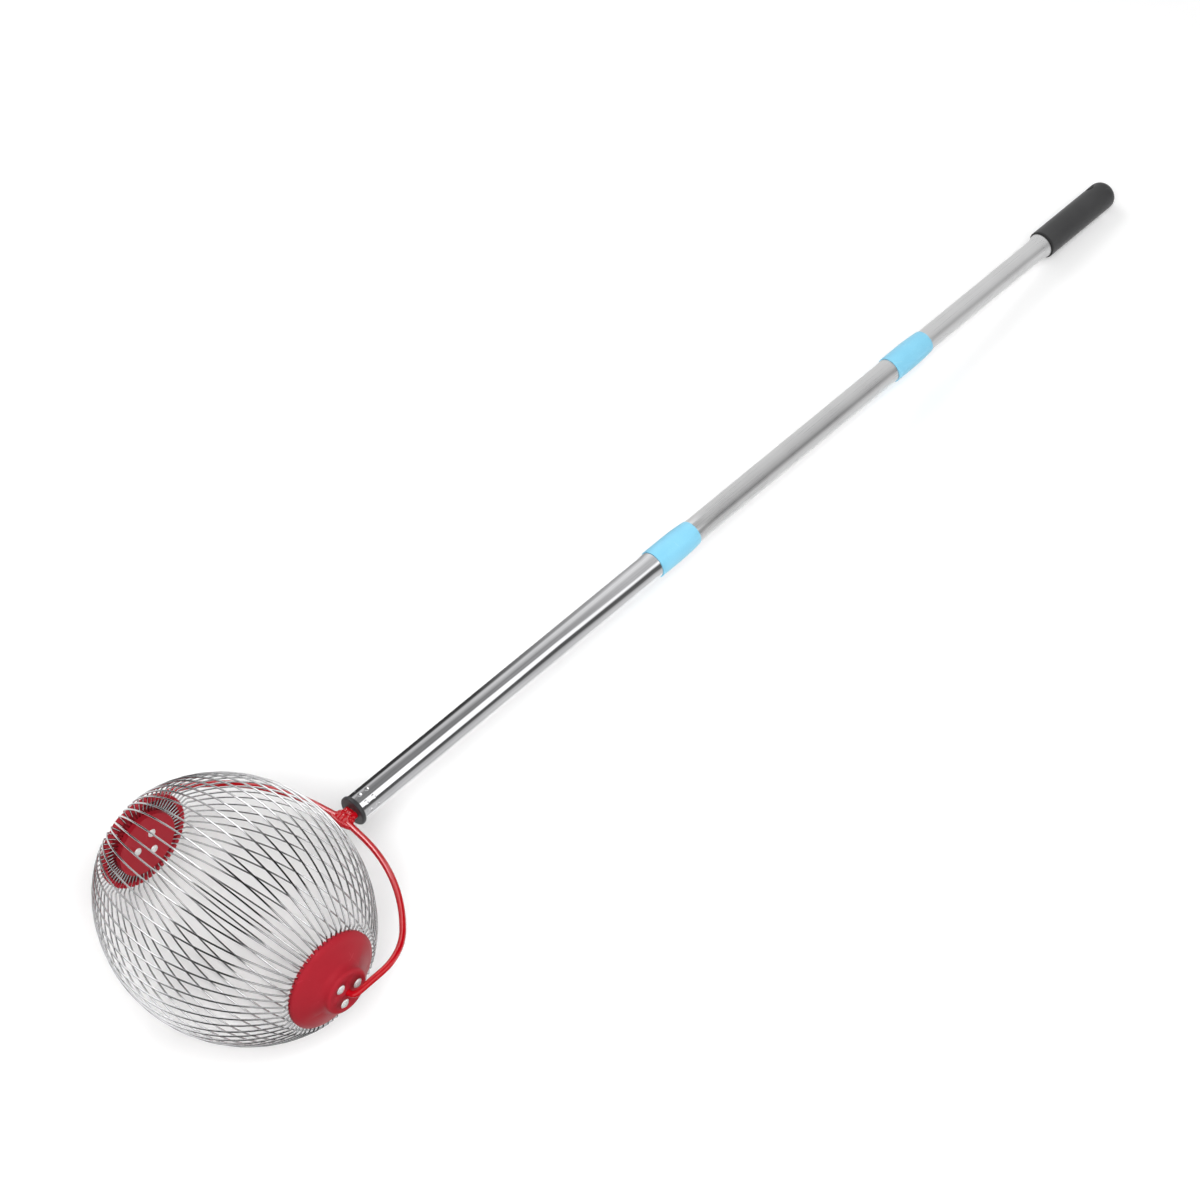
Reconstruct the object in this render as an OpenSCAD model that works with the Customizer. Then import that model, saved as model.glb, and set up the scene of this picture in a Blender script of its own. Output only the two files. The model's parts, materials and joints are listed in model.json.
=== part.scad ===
// Rolling nut gatherer: a bowed wire cage that spins in a rod yoke, on a three-section telescopic pole.
// It lies on the floor: the cage and the end of the hand grip touch the ground, +Z is up.
// Pieces of the pole and yoke are drawn with the pole along +X and the cage axis along Y.

/* [Cage] */
// Outside diameter of the wire cage at its middle
cage_d = 220; // [200:1:240]
// Diameter of one cage wire
wire_d = 1.6; // [1.2:0.1:2]
// Number of wires round the cage
wire_count = 58; // [48:2:66]
// Radius that each wire is bowed to
bow_r = 141.2; // [138:0.1:146]
// Distance from the middle of the cage to the straight wire ends
wire_end_y = 113.6; // [111:0.1:116]
// Radius of the bend between the bow and the straight end
knee_r = 4; // [3:0.5:6]
// Distance from the cage axis to the tips of the wires
wire_tip_r = 26.4; // [25:0.1:27]

/* [End caps] */
// Diameter of the toothed rim
rim_d = 91.2; // [88:0.1:96]
// Thickness of the rim outside its slots
rim_edge = 1.8; // [1.4:0.1:2.4]
// Depth of the slots between the teeth
tooth_depth = 2.4; // [2:0.1:3]
// Inside diameter of the toothed ring
tooth_ring_d = 82; // [80:0.5:84]
// Wall of the boss
cap_wall = 2.4; // [2:0.1:3]
// Rise of the toothed ring's inner wall above the floor of its slots
ring_lip = 1.6; // [1:0.1:1.8]
// Rise of the dish from its rim edge to the foot of the boss
dish_rise = 11.8; // [10:0.1:14]
// Diameter of the boss in the middle
boss_d = 44; // [42:0.5:48]
// Height of the boss above its foot
boss_rise = 7.1; // [6:0.1:9]
// Radius of the rounding on the boss
boss_round = 3.6; // [2:0.1:4.5]
// Length of the hub that turns on the yoke
hub_len = 12; // [10:0.5:14]
// Wall of the hub
hub_wall = 3.4; // [3:0.1:4]

/* [Wire retainers] */
// Diameter of the inner plate that clamps the wire ends
plate_d = 61.2; // [59:0.1:63]
// Thickness of the plate
plate_t = 2.4; // [2:0.1:3]
// Distance from the rim's inner face to the plate's inner face
plate_stand = 4.4; // [4:0.1:6]
// Wall of the plate's skirt
skirt_wall = 3; // [2.4:0.1:3.4]

/* [Rivets] */
// Rivets in each cap
rivet_count = 3; // [3:1:4]
// Diameter of the rivet shank
rivet_d = 4; // [3:0.1:4.6]
// Diameter of the rivet head on the outside
rivet_head_d = 9; // [8:0.1:9.6]
// Height of the outer rivet head
rivet_head_h = 2; // [1.4:0.1:2.4]
// Diameter of the closed end on the inside
rivet_tail_d = 5.8; // [5.4:0.1:7]
// Height of the closed end
rivet_tail_h = 1.4; // [1:0.1:2]
// Distance from the cage axis to the rivets
rivet_pitch_r = 11.4; // [11:0.1:12.4]
// Diameter of the posts round the rivets
post_d = 8.4; // [7.6:0.1:8.8]
// Turn of the rivets in the right cap, from the pole's direction upwards
right_rivet_turn = 0; // [0:1:119]
// Turn of the rivets in the left cap
left_rivet_turn = 52; // [0:1:119]

/* [Yoke] */
// Diameter of the yoke rod
rod_d = 6; // [5:0.1:7]
// Distance from the cap's face to the side of the yoke, to the rod's middle
yoke_side_gap = 5.8; // [5.6:0.1:8]
// Bend radius where the rod turns into the hub
hub_bend_r = 5.4; // [5:0.1:5.4]
// Bend radius of the shoulder
shoulder_bend_r = 60; // [50:1:62]
// Slope of the arm above the shoulder
arm_slope = 45; // [43:1:46]
// Slope of the arm near the neck
crown_slope = 7; // [6:1:9]
// Distance from the pole's axis to the change of slope
crown_reach = 81.3; // [79:0.1:83]
// Bend radius at the change of slope
crown_bend_r = 165; // [140:1:166]
// Bend radius where the arms turn up into the neck
neck_bend_r = 5; // [4:0.5:6]
// Length of straight rod between that bend and the lip of the pole
neck_run = 6.2; // [5.6:0.1:8]
// Gap between the two rods at the neck
neck_gap = 2.6; // [2:0.1:3.2]
// Gap between the cage and the lip of the pole
cage_gap = 27.5; // [25:0.1:34]
// Length of the rod ends inside the pole
neck_depth = 26; // [20:1:30]
// Weld beads between the rods: diameter
weld_d = 5.2; // [4.8:0.1:5.6]
// Weld beads: height above and below the middle of the rods
weld_rise = 1.6; // [1.5:0.1:1.9]
// Weld beads: length
weld_len = 6; // [5.4:0.1:6]
// Push-on nut on each rod end: diameter
nut_d = 12; // [10:0.1:14]
// Push-on nut: thickness
nut_t = 1; // [0.8:0.1:1.6]

/* [Pole] */
// Outside diameter of the lower tube
lower_tube_d = 25; // [24:0.1:27]
// Wall of the tubes
tube_wall = 0.5; // [0.4:0.05:0.7]
// Gap all round between one tube and the next
tube_gap = 0.3; // [0.25:0.05:0.4]
// Length of the lower tube
lower_tube_len = 422; // [390:1:470]
// Length of the middle tube
middle_tube_len = 416; // [380:1:440]
// Length of the upper tube
upper_tube_len = 348; // [320:1:380]
// Length of tube that stays inside the next one at full reach
overlap = 76; // [70:1:84]
// Widening of a tube where it enters its collar
collar_bell = 0.5; // [0.4:0.1:0.8]
// Widening of the upper tube where it enters the grip
grip_bell = 1.9; // [1.4:0.1:2.1]
// Length of the widening cone
bell_len = 10; // [8:1:14]

/* [End bush] */
// Thickness of the lip of the end bush
lip_t = 4.5; // [4:0.1:5.5]
// Overhang of the lip over the tube
lip_over = 1.6; // [1:0.1:2]
// Rounding of the lip's edges
lip_round = 1.8; // [1:0.1:1.9]
// Length of the bush inside the tube
bush_len = 32; // [28:1:36]
// Rows of crimp dimples round the tube
dimple_rows = 9; // [6:1:9]
// Width of a dimple
dimple_d = 4.2; // [3:0.1:4.6]
// Depth of a dimple
dimple_depth = 0.3; // [0.2:0.05:0.35]
// Distance from the tube's end to the first dimple
dimple_start = 6.5; // [5:0.5:9]
// Distance between the two dimples of a row
dimple_step = 8.5; // [6:0.5:10]

/* [Collars] */
// Length of a collar
collar_len = 53; // [50:1:58]
// Wall of a collar
collar_wall = 0.9; // [0.8:0.1:1.6]
// Depth of the tube inside its collar
collar_seat = 42; // [38:1:45]
// Length of the straight part of the collar
collar_straight = 22; // [16:1:26]
// Drop of the collar's outline towards the top
collar_drop = 1.2; // [0.6:0.1:1.3]
// Rounding of the collar's top edge
collar_round = 1.4; // [1:0.1:1.6]

/* [Twist locks] */
// Diameter of the lock stud
stud_d = 6; // [5:0.1:6.6]
// Length of the lock plug inside its tube
plug_len = 25; // [20:1:30]
// Thickness of the plug's flange
plug_flange = 3; // [2:0.1:4]
// Length of the expanding sleeve
sleeve_len = 30; // [26:1:34]
// Length of the slits in the sleeve
slit_len = 22; // [16:1:25]
// Width of a slit
slit_w = 1.6; // [1.2:0.1:2]
// Wall of the sleeve at its tapered mouth
sleeve_mouth_wall = 1.2; // [1:0.1:1.6]
// Length of the taper
taper_len = 12; // [10:1:15]
// Radius lost along the taper
taper_drop = 4; // [3:0.1:4.4]
// Length of the straight foot of the cone nut
cone_foot = 6; // [4:0.5:8]

/* [Grip] */
// Diameter of the hand grip
grip_d = 28.6; // [28:0.1:32]
// Length of the grip
grip_len = 110; // [105:1:125]
// Depth of the tube inside the grip
grip_seat = 75; // [68:1:78]
// Rounding of the grip's end
grip_round = 11; // [8:0.5:12]
// Rounding of the grip's mouth
grip_mouth_round = 1; // [0.6:0.1:1.2]
// Diameter of the hang hole
hang_d = 9; // [7:0.5:10]
// Distance from the grip's end to the hang hole
hang_back = 19; // [17:0.5:21]
// Turn of the hang hole from upright towards the left cap
hang_turn = 40; // [0:1:89]
// Width of the bevel at the mouths of the hang hole
hang_bevel = 1.6; // [1:0.1:2]

/* [Fits] */
// Clearance of the hub and the nuts on the rod
run_gap = 0.06; // [0.03:0.01:0.1]
// Clearance of a piece that is pressed or glued into another
seat_gap = 0.05; // [0.02:0.01:0.1]
// Clearance at the sides of a wire in its slot
slot_gap = 0.2; // [0.1:0.05:0.25]
// Clearance of a tube in the mouth of a collar
collar_gap = 0.3; // [0.2:0.05:0.4]
// Clearance of the lock sleeve in its tube
lock_gap = 0.1; // [0.06:0.02:0.1]
// Gap between faces that turn against each other
face_gap = 0.4; // [0.3:0.1:0.6]
// Swelling of a wire or rod in its bends
bend_swell = 0.02; // [0.01:0.01:0.04]
// Length that a straight stretch runs into its bend
bend_lap = 0.25; // [0.15:0.05:0.3]

/* [Hidden] */
$fn = 96;
cut = 1;
arc_steps = 8;

// Wires: the bow's middle lies off the cage axis, and each knee is tangent to bow and straight end
wire_r = wire_d / 2;
pitch = 360 / wire_count;
half_count = floor(wire_count / 2);
bow_mid = cage_d / 2 - wire_r - bow_r;
knee_y = wire_end_y - knee_r;
knee_mid = bow_mid + sqrt(pow(bow_r - knee_r, 2) - pow(knee_y, 2));
bow_half = atan2(knee_y, knee_mid - bow_mid);
bow_lap = asin(bend_lap / bow_r);

// Caps: heights along the cage axis, from the middle of the cage
slot_w = wire_d + 2 * slot_gap;
slot_floor_y = wire_end_y + wire_r + slot_gap;
rim_in_y = slot_floor_y - tooth_depth;
rim_out_y = slot_floor_y + rim_edge;
rim_r = rim_d / 2;
tooth_ring_r = tooth_ring_d / 2;
boss_r = boss_d / 2;
boss_foot_y = rim_out_y + dish_rise;
boss_y = boss_foot_y + boss_rise;
dish_slope = dish_rise / (rim_r - boss_r);
ring_top_y = slot_floor_y + ring_lip;
wall_y = rim_out_y + dish_slope * (rim_r - tooth_ring_r) - ring_top_y;
hub_bore_r = rod_d / 2 + run_gap;
hub_r = hub_bore_r + hub_wall;
hub_in_y = boss_y - hub_len;
plate_r = plate_d / 2;
plate_y = rim_in_y - plate_stand;
skirt_r = plate_r - skirt_wall;
rivet_r = rivet_d / 2;
head_sink = rivet_head_h / 2;

// Yoke: sideways distance u and distance along the pole v
rod_r = rod_d / 2;
nut_y = hub_in_y - face_gap - nut_t;
rod_tip_y = nut_y - 2 * nut_t;
yoke_u = boss_y + yoke_side_gap;
neck_u = rod_r + neck_gap / 2;
lip_v = cage_d / 2 + cage_gap;
neck_v = lip_v - face_gap - neck_run - neck_bend_r * tan((90 - crown_slope) / 2);
crown_v = neck_v - (crown_reach - neck_u) * tan(crown_slope);
shoulder_v = crown_v - (yoke_u - crown_reach) * tan(arm_slope);
lower_start = lip_v + lip_t;
rod_end_v = lower_start + neck_depth;
yoke_path = [
  [rod_tip_y, 0],
  [yoke_u, 0],
  [yoke_u, shoulder_v],
  [crown_reach, crown_v],
  [neck_u, neck_v],
  [neck_u, rod_end_v]
];
yoke_bends = [0, hub_bend_r, shoulder_bend_r, crown_bend_r, neck_bend_r, 0];

// Pole: distances from the middle of the cage along the pole
lower_r = lower_tube_d / 2;
middle_r = lower_r - tube_wall - tube_gap;
upper_r = middle_r - tube_wall - tube_gap;
lower_end = lower_start + lower_tube_len;
middle_start = lower_end - overlap;
middle_end = middle_start + middle_tube_len;
upper_start = middle_end - overlap;
upper_end = upper_start + upper_tube_len;
grip_start = upper_end - grip_seat;
grip_end = grip_start + grip_len;
grip_r = grip_d / 2;
hang_v = grip_end - hang_back;
dimple_ball_r = (dimple_d * dimple_d / 4 + dimple_depth * dimple_depth) / (2 * dimple_depth);

// Resting place: two neighbouring wires and the end of the grip touch the floor, the origin is below the middle
cage_z = (cage_d / 2 - wire_r) * cos(pitch / 2) + wire_r;
round_v = grip_end - grip_round;
round_r = grip_r - grip_round;
tilt = asin((cage_z - grip_round) / norm([round_v, round_r])) - atan2(round_r, round_v);
reach = round_v * cos(tilt) + round_r * sin(tilt) + grip_round;
cage_x = (cage_d / 2 - reach) / 2;

// Points of an arc round a middle point, from one angle to another
function arc(middle, radius, from, to) = [
  for (i = [0:arc_steps])
    let (a = from + (to - from) * i / arc_steps)
    middle + radius * [cos(a), sin(a)]
];

// Direction of the line between two points, and the turn from one direction to the next
function heading(a, b) = atan2(b[1] - a[1], b[0] - a[0]);
function turn_at(path, i) = heading(path[i], path[i + 1]) - heading(path[i - 1], path[i]);
function bend_run(path, bends, i) =
  i == 0 || i == len(path) - 1 ? 0 : bends[i] * tan(abs(turn_at(path, i)) / 2);
function along(a, distance) = distance * [cos(a), sin(a)];

// Places a piece of the cage, with the cage axis along Y
module on_cage() {
  translate([cage_x, 0, cage_z])
    children();
}

// Places a piece of the pole or yoke, with the pole along +X
module on_pole() {
  translate([cage_x, 0, cage_z])
    rotate([0, tilt, 0])
      children();
}

// Turns a solid that stands along Z so that it lies along the pole
module along_pole() {
  rotate([0, 90, 0])
    children();
}

// Turns a solid that stands along Z so that it lies along the cage axis, towards the left cap
module along_axis() {
  rotate([-90, 0, 0])
    children();
}

module mirrored() {
  mirror([0, 1, 0])
    children();
}

// Round rod along a path in the plane, with a bend at each corner
module bent_rod(path, bends, d) {
  last = len(path) - 1;
  for (i = [0:last - 1]) {
    h = heading(path[i], path[i + 1]);
    start = i == 0 ? 0 : bend_run(path, bends, i) - bend_lap;
    end = i == last - 1 ? 0 : bend_run(path, bends, i + 1) - bend_lap;
    translate(path[i] + along(h, start))
      rotate([0, 0, h])
        rotate([0, 90, 0])
          cylinder(d = d, h = norm(path[i + 1] - path[i]) - start - end);
  }
  for (i = [1:last - 1]) {
    h = heading(path[i - 1], path[i]);
    turn = turn_at(path, i);
    side = sign(turn);
    start = path[i] - along(h, bend_run(path, bends, i));
    middle = start + along(h + 90 * side, bends[i]);
    from = side > 0 ? h - 90 : h + 90 + turn;
    translate(middle)
      rotate([0, 0, from])
        rotate_extrude(angle = abs(turn))
          translate([bends[i], 0])
            circle(d = d + 2 * bend_swell);
  }
}

// One wire in the plane of the cage axis: X outwards, Y along the axis
module wire() {
  translate([bow_mid, 0])
    rotate([0, 0, -bow_half - bow_lap])
      rotate_extrude(angle = 2 * (bow_half + bow_lap))
        translate([bow_r, 0])
          circle(d = wire_d);
  wire_end();
  mirrored()
    wire_end();
}

module wire_end() {
  translate([knee_mid, knee_y])
    rotate([0, 0, bow_half])
      rotate_extrude(angle = 90 - bow_half)
        translate([knee_r, 0])
          circle(d = wire_d + 2 * bend_swell);
  translate([wire_tip_r, wire_end_y])
    rotate([0, 90, 0])
      cylinder(d = wire_d, h = knee_mid + bend_lap - wire_tip_r);
}

// Neighbouring wires round the cage, from one number up to another
module wire_ring(from, to) {
  color("gainsboro")
    on_cage()
      for (i = [from:to - 1])
        rotate([0, 90 + (i + 0.5) * pitch, 0])
          wire();
}

module cage_wires_a() {
  wire_ring(0, half_count);
}

module cage_wires_b() {
  wire_ring(half_count, wire_count);
}

// Radial slots for the wires, from one radius to another, round Z
module wire_slots(from, to, low, high) {
  for (i = [0:wire_count - 1])
    rotate([0, 0, 90 + (i + 0.5) * pitch])
      translate([from, -slot_w / 2, low])
        cube([to - from, slot_w, high - low]);
}

module at_rivets(rivet_turn) {
  for (i = [0:rivet_count - 1])
    rotate([0, 0, -rivet_turn - i * 360 / rivet_count])
      translate([rivet_pitch_r, 0])
        children();
}

// Outline of the dished cap, with its toothed ring, wire seat and boss
module cap_outline() {
  inner_foot = boss_r - cap_wall;
  seat_out_top = rim_out_y + dish_slope * (rim_r - plate_r) - wall_y;
  seat_in_top = rim_out_y + dish_slope * (rim_r - skirt_r) - wall_y;
  inner_foot_y = rim_out_y + dish_slope * (rim_r - inner_foot) - wall_y;
  polygon(concat(
    [[0, boss_y - cap_wall], [inner_foot - boss_round, boss_y - cap_wall]],
    [[inner_foot, boss_y - cap_wall - boss_round], [inner_foot, inner_foot_y]],
    [[skirt_r, seat_in_top], [skirt_r, slot_floor_y]],
    [[plate_r, slot_floor_y], [plate_r, seat_out_top]],
    [[tooth_ring_r, ring_top_y], [tooth_ring_r, rim_in_y]],
    [[rim_r, rim_in_y], [rim_r, rim_out_y]],
    [[boss_r, boss_foot_y]],
    arc([boss_r - boss_round, boss_y - boss_round], boss_round, 0, 90),
    [[0, boss_y]]
  ));
}

module end_cap(rivet_turn) {
  color([0.72, 0.17, 0.22])
    along_axis()
      difference() {
        union() {
          rotate_extrude()
            cap_outline();
          translate([0, 0, hub_in_y])
            cylinder(r = hub_r, h = hub_len - cap_wall / 2);
          at_rivets(rivet_turn)
            translate([0, 0, plate_y + plate_t])
              cylinder(d = post_d, h = boss_y - cap_wall / 2 - plate_y - plate_t);
        }
        translate([0, 0, plate_y])
          cylinder(r = hub_bore_r, h = boss_y - plate_y + cut);
        translate([0, 0, plate_y])
          at_rivets(rivet_turn)
            cylinder(r = rivet_r + seat_gap, h = boss_y - plate_y + cut);
        translate([0, 0, boss_y - head_sink])
          at_rivets(rivet_turn)
            cylinder(d = rivet_head_d + 2 * slot_gap, h = head_sink + cut);
        wire_slots(tooth_ring_r - cut, rim_r + cut, rim_in_y - cut, slot_floor_y);
      }
}

module left_end_cap() {
  on_cage()
    end_cap(left_rivet_turn);
}

module right_end_cap() {
  on_cage()
    mirrored()
      end_cap(right_rivet_turn);
}

// Plate with a notched skirt that holds the wire ends against the cap
module wire_retainer(rivet_turn) {
  color([0.74, 0.18, 0.23])
    along_axis()
      difference() {
        translate([0, 0, plate_y])
          cylinder(r = plate_r, h = slot_floor_y - plate_y);
        translate([0, 0, plate_y + plate_t])
          cylinder(r = skirt_r, h = slot_floor_y - plate_y);
        translate([0, 0, plate_y - cut])
          at_rivets(rivet_turn)
            cylinder(r = rivet_r + seat_gap, h = plate_t + 2 * cut);
        wire_slots(skirt_r - cut, plate_r + cut, wire_end_y - wire_r - slot_gap, slot_floor_y + cut);
      }
}

module left_wire_retainer() {
  on_cage()
    wire_retainer(left_rivet_turn);
}

module right_wire_retainer() {
  on_cage()
    mirrored()
      wire_retainer(right_rivet_turn);
}

// Low dome of a given width and height, standing on Z = 0
module dome(width, height) {
  ball_r = (width * width / 4 + height * height) / (2 * height);
  rotate_extrude()
    intersection() {
      translate([0, height - ball_r])
        circle(r = ball_r);
      square([width, height]);
    }
}

module rivets(rivet_turn) {
  color("silver")
    along_axis()
      at_rivets(rivet_turn) {
        translate([0, 0, plate_y])
          cylinder(r = rivet_r, h = boss_y - head_sink - plate_y);
        translate([0, 0, boss_y - head_sink])
          dome(rivet_head_d, rivet_head_h);
        translate([0, 0, plate_y])
          mirror([0, 0, 1])
            dome(rivet_tail_d, rivet_tail_h);
      }
}

module left_cap_rivets() {
  on_cage()
    rivets(left_rivet_turn);
}

module right_cap_rivets() {
  on_cage()
    mirrored()
      rivets(right_rivet_turn);
}

// Yoke arm on the left: the path's first value runs along the cage axis, its second along the pole
module yoke_arm() {
  color([0.78, 0.08, 0.14])
    mirror([1, -1, 0])
      bent_rod(yoke_path, yoke_bends, rod_d);
}

module left_yoke_arm() {
  on_pole()
    yoke_arm();
}

module right_yoke_arm() {
  on_pole()
    mirrored()
      yoke_arm();
}

module push_nut() {
  color("silver")
    along_axis()
      translate([0, 0, nut_y])
        difference() {
          cylinder(d = nut_d, h = nut_t);
          translate([0, 0, -cut])
            cylinder(r = rod_r + seat_gap, h = nut_t + 2 * cut);
        }
}

module left_push_nut() {
  on_pole()
    push_nut();
}

module right_push_nut() {
  on_pole()
    mirrored()
      push_nut();
}

// Weld beads that fill the gap between the two rods at the neck, above and below
module yoke_weld() {
  bead_r = weld_d / 2;
  bead_end = lip_v - face_gap - bead_r;
  bead_start = bead_end - weld_len + weld_d;
  color([0.76, 0.08, 0.14])
    on_pole()
      difference() {
        for (side = [-1, 1]) {
          translate([bead_start, 0, side * weld_rise])
            sphere(r = bead_r);
          translate([bead_start, 0, side * weld_rise])
            along_pole()
              cylinder(r = bead_r, h = bead_end - bead_start);
          translate([bead_end, 0, side * weld_rise])
            sphere(r = bead_r);
        }
        for (side = [-1, 1])
          translate([lip_v - neck_run - cut, side * neck_u, 0])
            along_pole()
              cylinder(r = rod_r + seat_gap, h = neck_run + 2 * cut);
      }
}

module pole_end_bush() {
  bush_r = lower_r - tube_wall - seat_gap;
  lip_r = lower_r + lip_over;
  color([0.13, 0.13, 0.14])
    on_pole()
      difference() {
        along_pole()
          rotate_extrude()
            polygon(concat(
              [[0, lip_v]],
              arc([lip_r - lip_round, lip_v + lip_round], lip_round, -90, 0),
              arc([lip_r - lip_round, lower_start - lip_round], lip_round, 0, 90),
              [[bush_r, lower_start], [bush_r, lower_start + bush_len], [0, lower_start + bush_len]]
            ));
        for (side = [-1, 1])
          translate([lip_v - cut, side * neck_u, 0])
            along_pole()
              cylinder(r = rod_r + seat_gap, h = rod_end_v - lip_v + cut);
      }
}

// Tube with one end widened: outline of the outside, drawn in by an inset for the bore
module belled_tube(radius, start, end, bell_start, bell) {
  rotate_extrude()
    polygon([
      [radius, start],
      [radius, bell_start - bell_len],
      [radius + bell, bell_start],
      [radius + bell, end],
      [radius + bell - tube_wall, end],
      [radius + bell - tube_wall, bell_start],
      [radius - tube_wall, bell_start - bell_len],
      [radius - tube_wall, start]
    ]);
}

module lower_tube() {
  color("silver")
    on_pole()
      difference() {
        along_pole()
          belled_tube(lower_r, lower_start, lower_end, lower_end - collar_seat, collar_bell);
        for (row = [0:dimple_rows - 1], place = [0, 1])
          rotate([row * 360 / dimple_rows, 0, 0])
            translate([
              lower_start + dimple_start + place * dimple_step,
              0,
              lower_r - dimple_depth + dimple_ball_r
            ])
              sphere(r = dimple_ball_r);
      }
}

module middle_tube() {
  color("silver")
    on_pole()
      along_pole()
        belled_tube(middle_r, middle_start, middle_end, middle_end - collar_seat, collar_bell);
}

module upper_tube() {
  color("silver")
    on_pole()
      along_pole()
        belled_tube(upper_r, upper_start, upper_end, grip_start, grip_bell);
}

// Sleeve on the end of a tube: straight at the foot, then drawn in to the next tube
module collar(tube_r, next_r, tube_end) {
  bottom = tube_end - collar_seat;
  top = bottom + collar_len;
  seat_r = tube_r + collar_bell + seat_gap;
  out_r = seat_r + collar_wall;
  mouth_r = next_r + collar_gap;
  edge = collar_wall / 2;
  neck_r = out_r - collar_drop;
  neck_top = top - (neck_r - mouth_r) + edge;
  fall = neck_top - collar_round - bottom - collar_straight;
  curve_r = (fall * fall + collar_drop * collar_drop) / (2 * collar_drop);
  curve_angle = asin(fall / curve_r);
  color([0.58, 0.87, 0.98])
    on_pole()
      along_pole()
        rotate_extrude()
          polygon(concat(
            [[seat_r, bottom]],
            arc([out_r - edge, bottom + edge], edge, -90, 0),
            arc([out_r - curve_r, bottom + collar_straight], curve_r, 0, curve_angle),
            [[mouth_r + edge, top], [mouth_r, top], [mouth_r, tube_end], [seat_r, tube_end]]
          ));
}

module lower_collar() {
  collar(lower_r, middle_r, lower_end);
}

module upper_collar() {
  collar(middle_r, upper_r, middle_end);
}

// Plug in the foot of a tube, with the stud of the twist lock
module lock_plug(tube_r, foot) {
  stud_len = plug_flange + face_gap + sleeve_len + cone_foot + face_gap;
  color([0.85, 0.85, 0.82])
    on_pole()
      along_pole() {
        translate([0, 0, foot])
          cylinder(r = tube_r - tube_wall - seat_gap, h = plug_len);
        translate([0, 0, foot - plug_flange])
          cylinder(r = tube_r, h = plug_flange);
        translate([0, 0, foot - stud_len])
          cylinder(d = stud_d, h = stud_len - plug_flange / 2);
      }
}

// Slit sleeve that the cone spreads against the wall of the outer tube
module lock_sleeve(outer_r, foot) {
  bore_r = outer_r - tube_wall;
  out_r = bore_r - lock_gap;
  mouth_r = out_r - sleeve_mouth_wall;
  top = foot - plug_flange - face_gap;
  bottom = top - sleeve_len;
  stud_bore_r = stud_d / 2 + face_gap;
  color([0.92, 0.9, 0.84])
    on_pole()
      along_pole()
        difference() {
          rotate_extrude()
            polygon([
              [mouth_r, bottom],
              [out_r, bottom],
              [out_r, top],
              [stud_bore_r, top],
              [stud_bore_r, bottom + taper_len],
              [mouth_r - taper_drop, bottom + taper_len]
            ]);
          for (side = [0, 90])
            rotate([0, 0, side])
              translate([-out_r - cut, -slit_w / 2, bottom - cut])
                cube([2 * (out_r + cut), slit_w, slit_len + cut]);
        }
}

// Cone nut on the stud, seated in the mouth of the sleeve
module lock_cone(outer_r, foot) {
  mouth_r = outer_r - tube_wall - lock_gap - sleeve_mouth_wall - face_gap;
  bottom = foot - plug_flange - face_gap - sleeve_len;
  color([0.75, 0.75, 0.72])
    on_pole()
      along_pole()
        difference() {
          rotate_extrude()
            polygon([
              [0, bottom - cone_foot],
              [mouth_r, bottom - cone_foot],
              [mouth_r, bottom],
              [mouth_r - taper_drop, bottom + taper_len],
              [0, bottom + taper_len]
            ]);
          translate([0, 0, bottom - cone_foot - cut])
            cylinder(r = stud_d / 2 + run_gap, h = cone_foot + taper_len + 2 * cut);
        }
}

module lower_lock_plug() {
  lock_plug(middle_r, middle_start);
}

module lower_lock_sleeve() {
  lock_sleeve(lower_r, middle_start);
}

module lower_lock_cone() {
  lock_cone(lower_r, middle_start);
}

module upper_lock_plug() {
  lock_plug(upper_r, upper_start);
}

module upper_lock_sleeve() {
  lock_sleeve(middle_r, upper_start);
}

module upper_lock_cone() {
  lock_cone(middle_r, upper_start);
}

// Rubber grip with a solid round end and a hole to hang it by
module hand_grip() {
  bore_r = upper_r + grip_bell + seat_gap;
  hang_r = hang_d / 2;
  color([0.27, 0.27, 0.28])
    on_pole()
      difference() {
        along_pole()
          rotate_extrude()
            polygon(concat(
              [[bore_r, grip_start]],
              arc([grip_r - grip_mouth_round, grip_start + grip_mouth_round], grip_mouth_round, -90, 0),
              arc([grip_r - grip_round, grip_end - grip_round], grip_round, 0, 90),
              [[0, grip_end], [0, upper_end], [bore_r, upper_end]]
            ));
        translate([hang_v, 0, 0])
          rotate([-hang_turn, 0, 0]) {
            translate([0, 0, -grip_r - cut])
              cylinder(r = hang_r, h = 2 * (grip_r + cut));
            for (side = [0, 1])
              mirror([0, 0, side])
                translate([0, 0, grip_r - hang_bevel])
                  cylinder(r1 = hang_r, r2 = hang_r + 2 * hang_bevel, h = 2 * hang_bevel);
          }
      }
}

cage_wires_a();
cage_wires_b();
left_end_cap();
right_end_cap();
left_wire_retainer();
right_wire_retainer();
left_cap_rivets();
right_cap_rivets();
left_yoke_arm();
right_yoke_arm();
left_push_nut();
right_push_nut();
yoke_weld();
pole_end_bush();
lower_tube();
lower_collar();
lower_lock_plug();
lower_lock_sleeve();
lower_lock_cone();
middle_tube();
upper_collar();
upper_lock_plug();
upper_lock_sleeve();
upper_lock_cone();
upper_tube();
hand_grip();
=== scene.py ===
"""Rolling nut gatherer: wire cage in a rod yoke on a telescopic pole, lying on a pale studio floor."""
import json
import math

import bmesh
import bpy
from mathutils import Matrix, Vector

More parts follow.
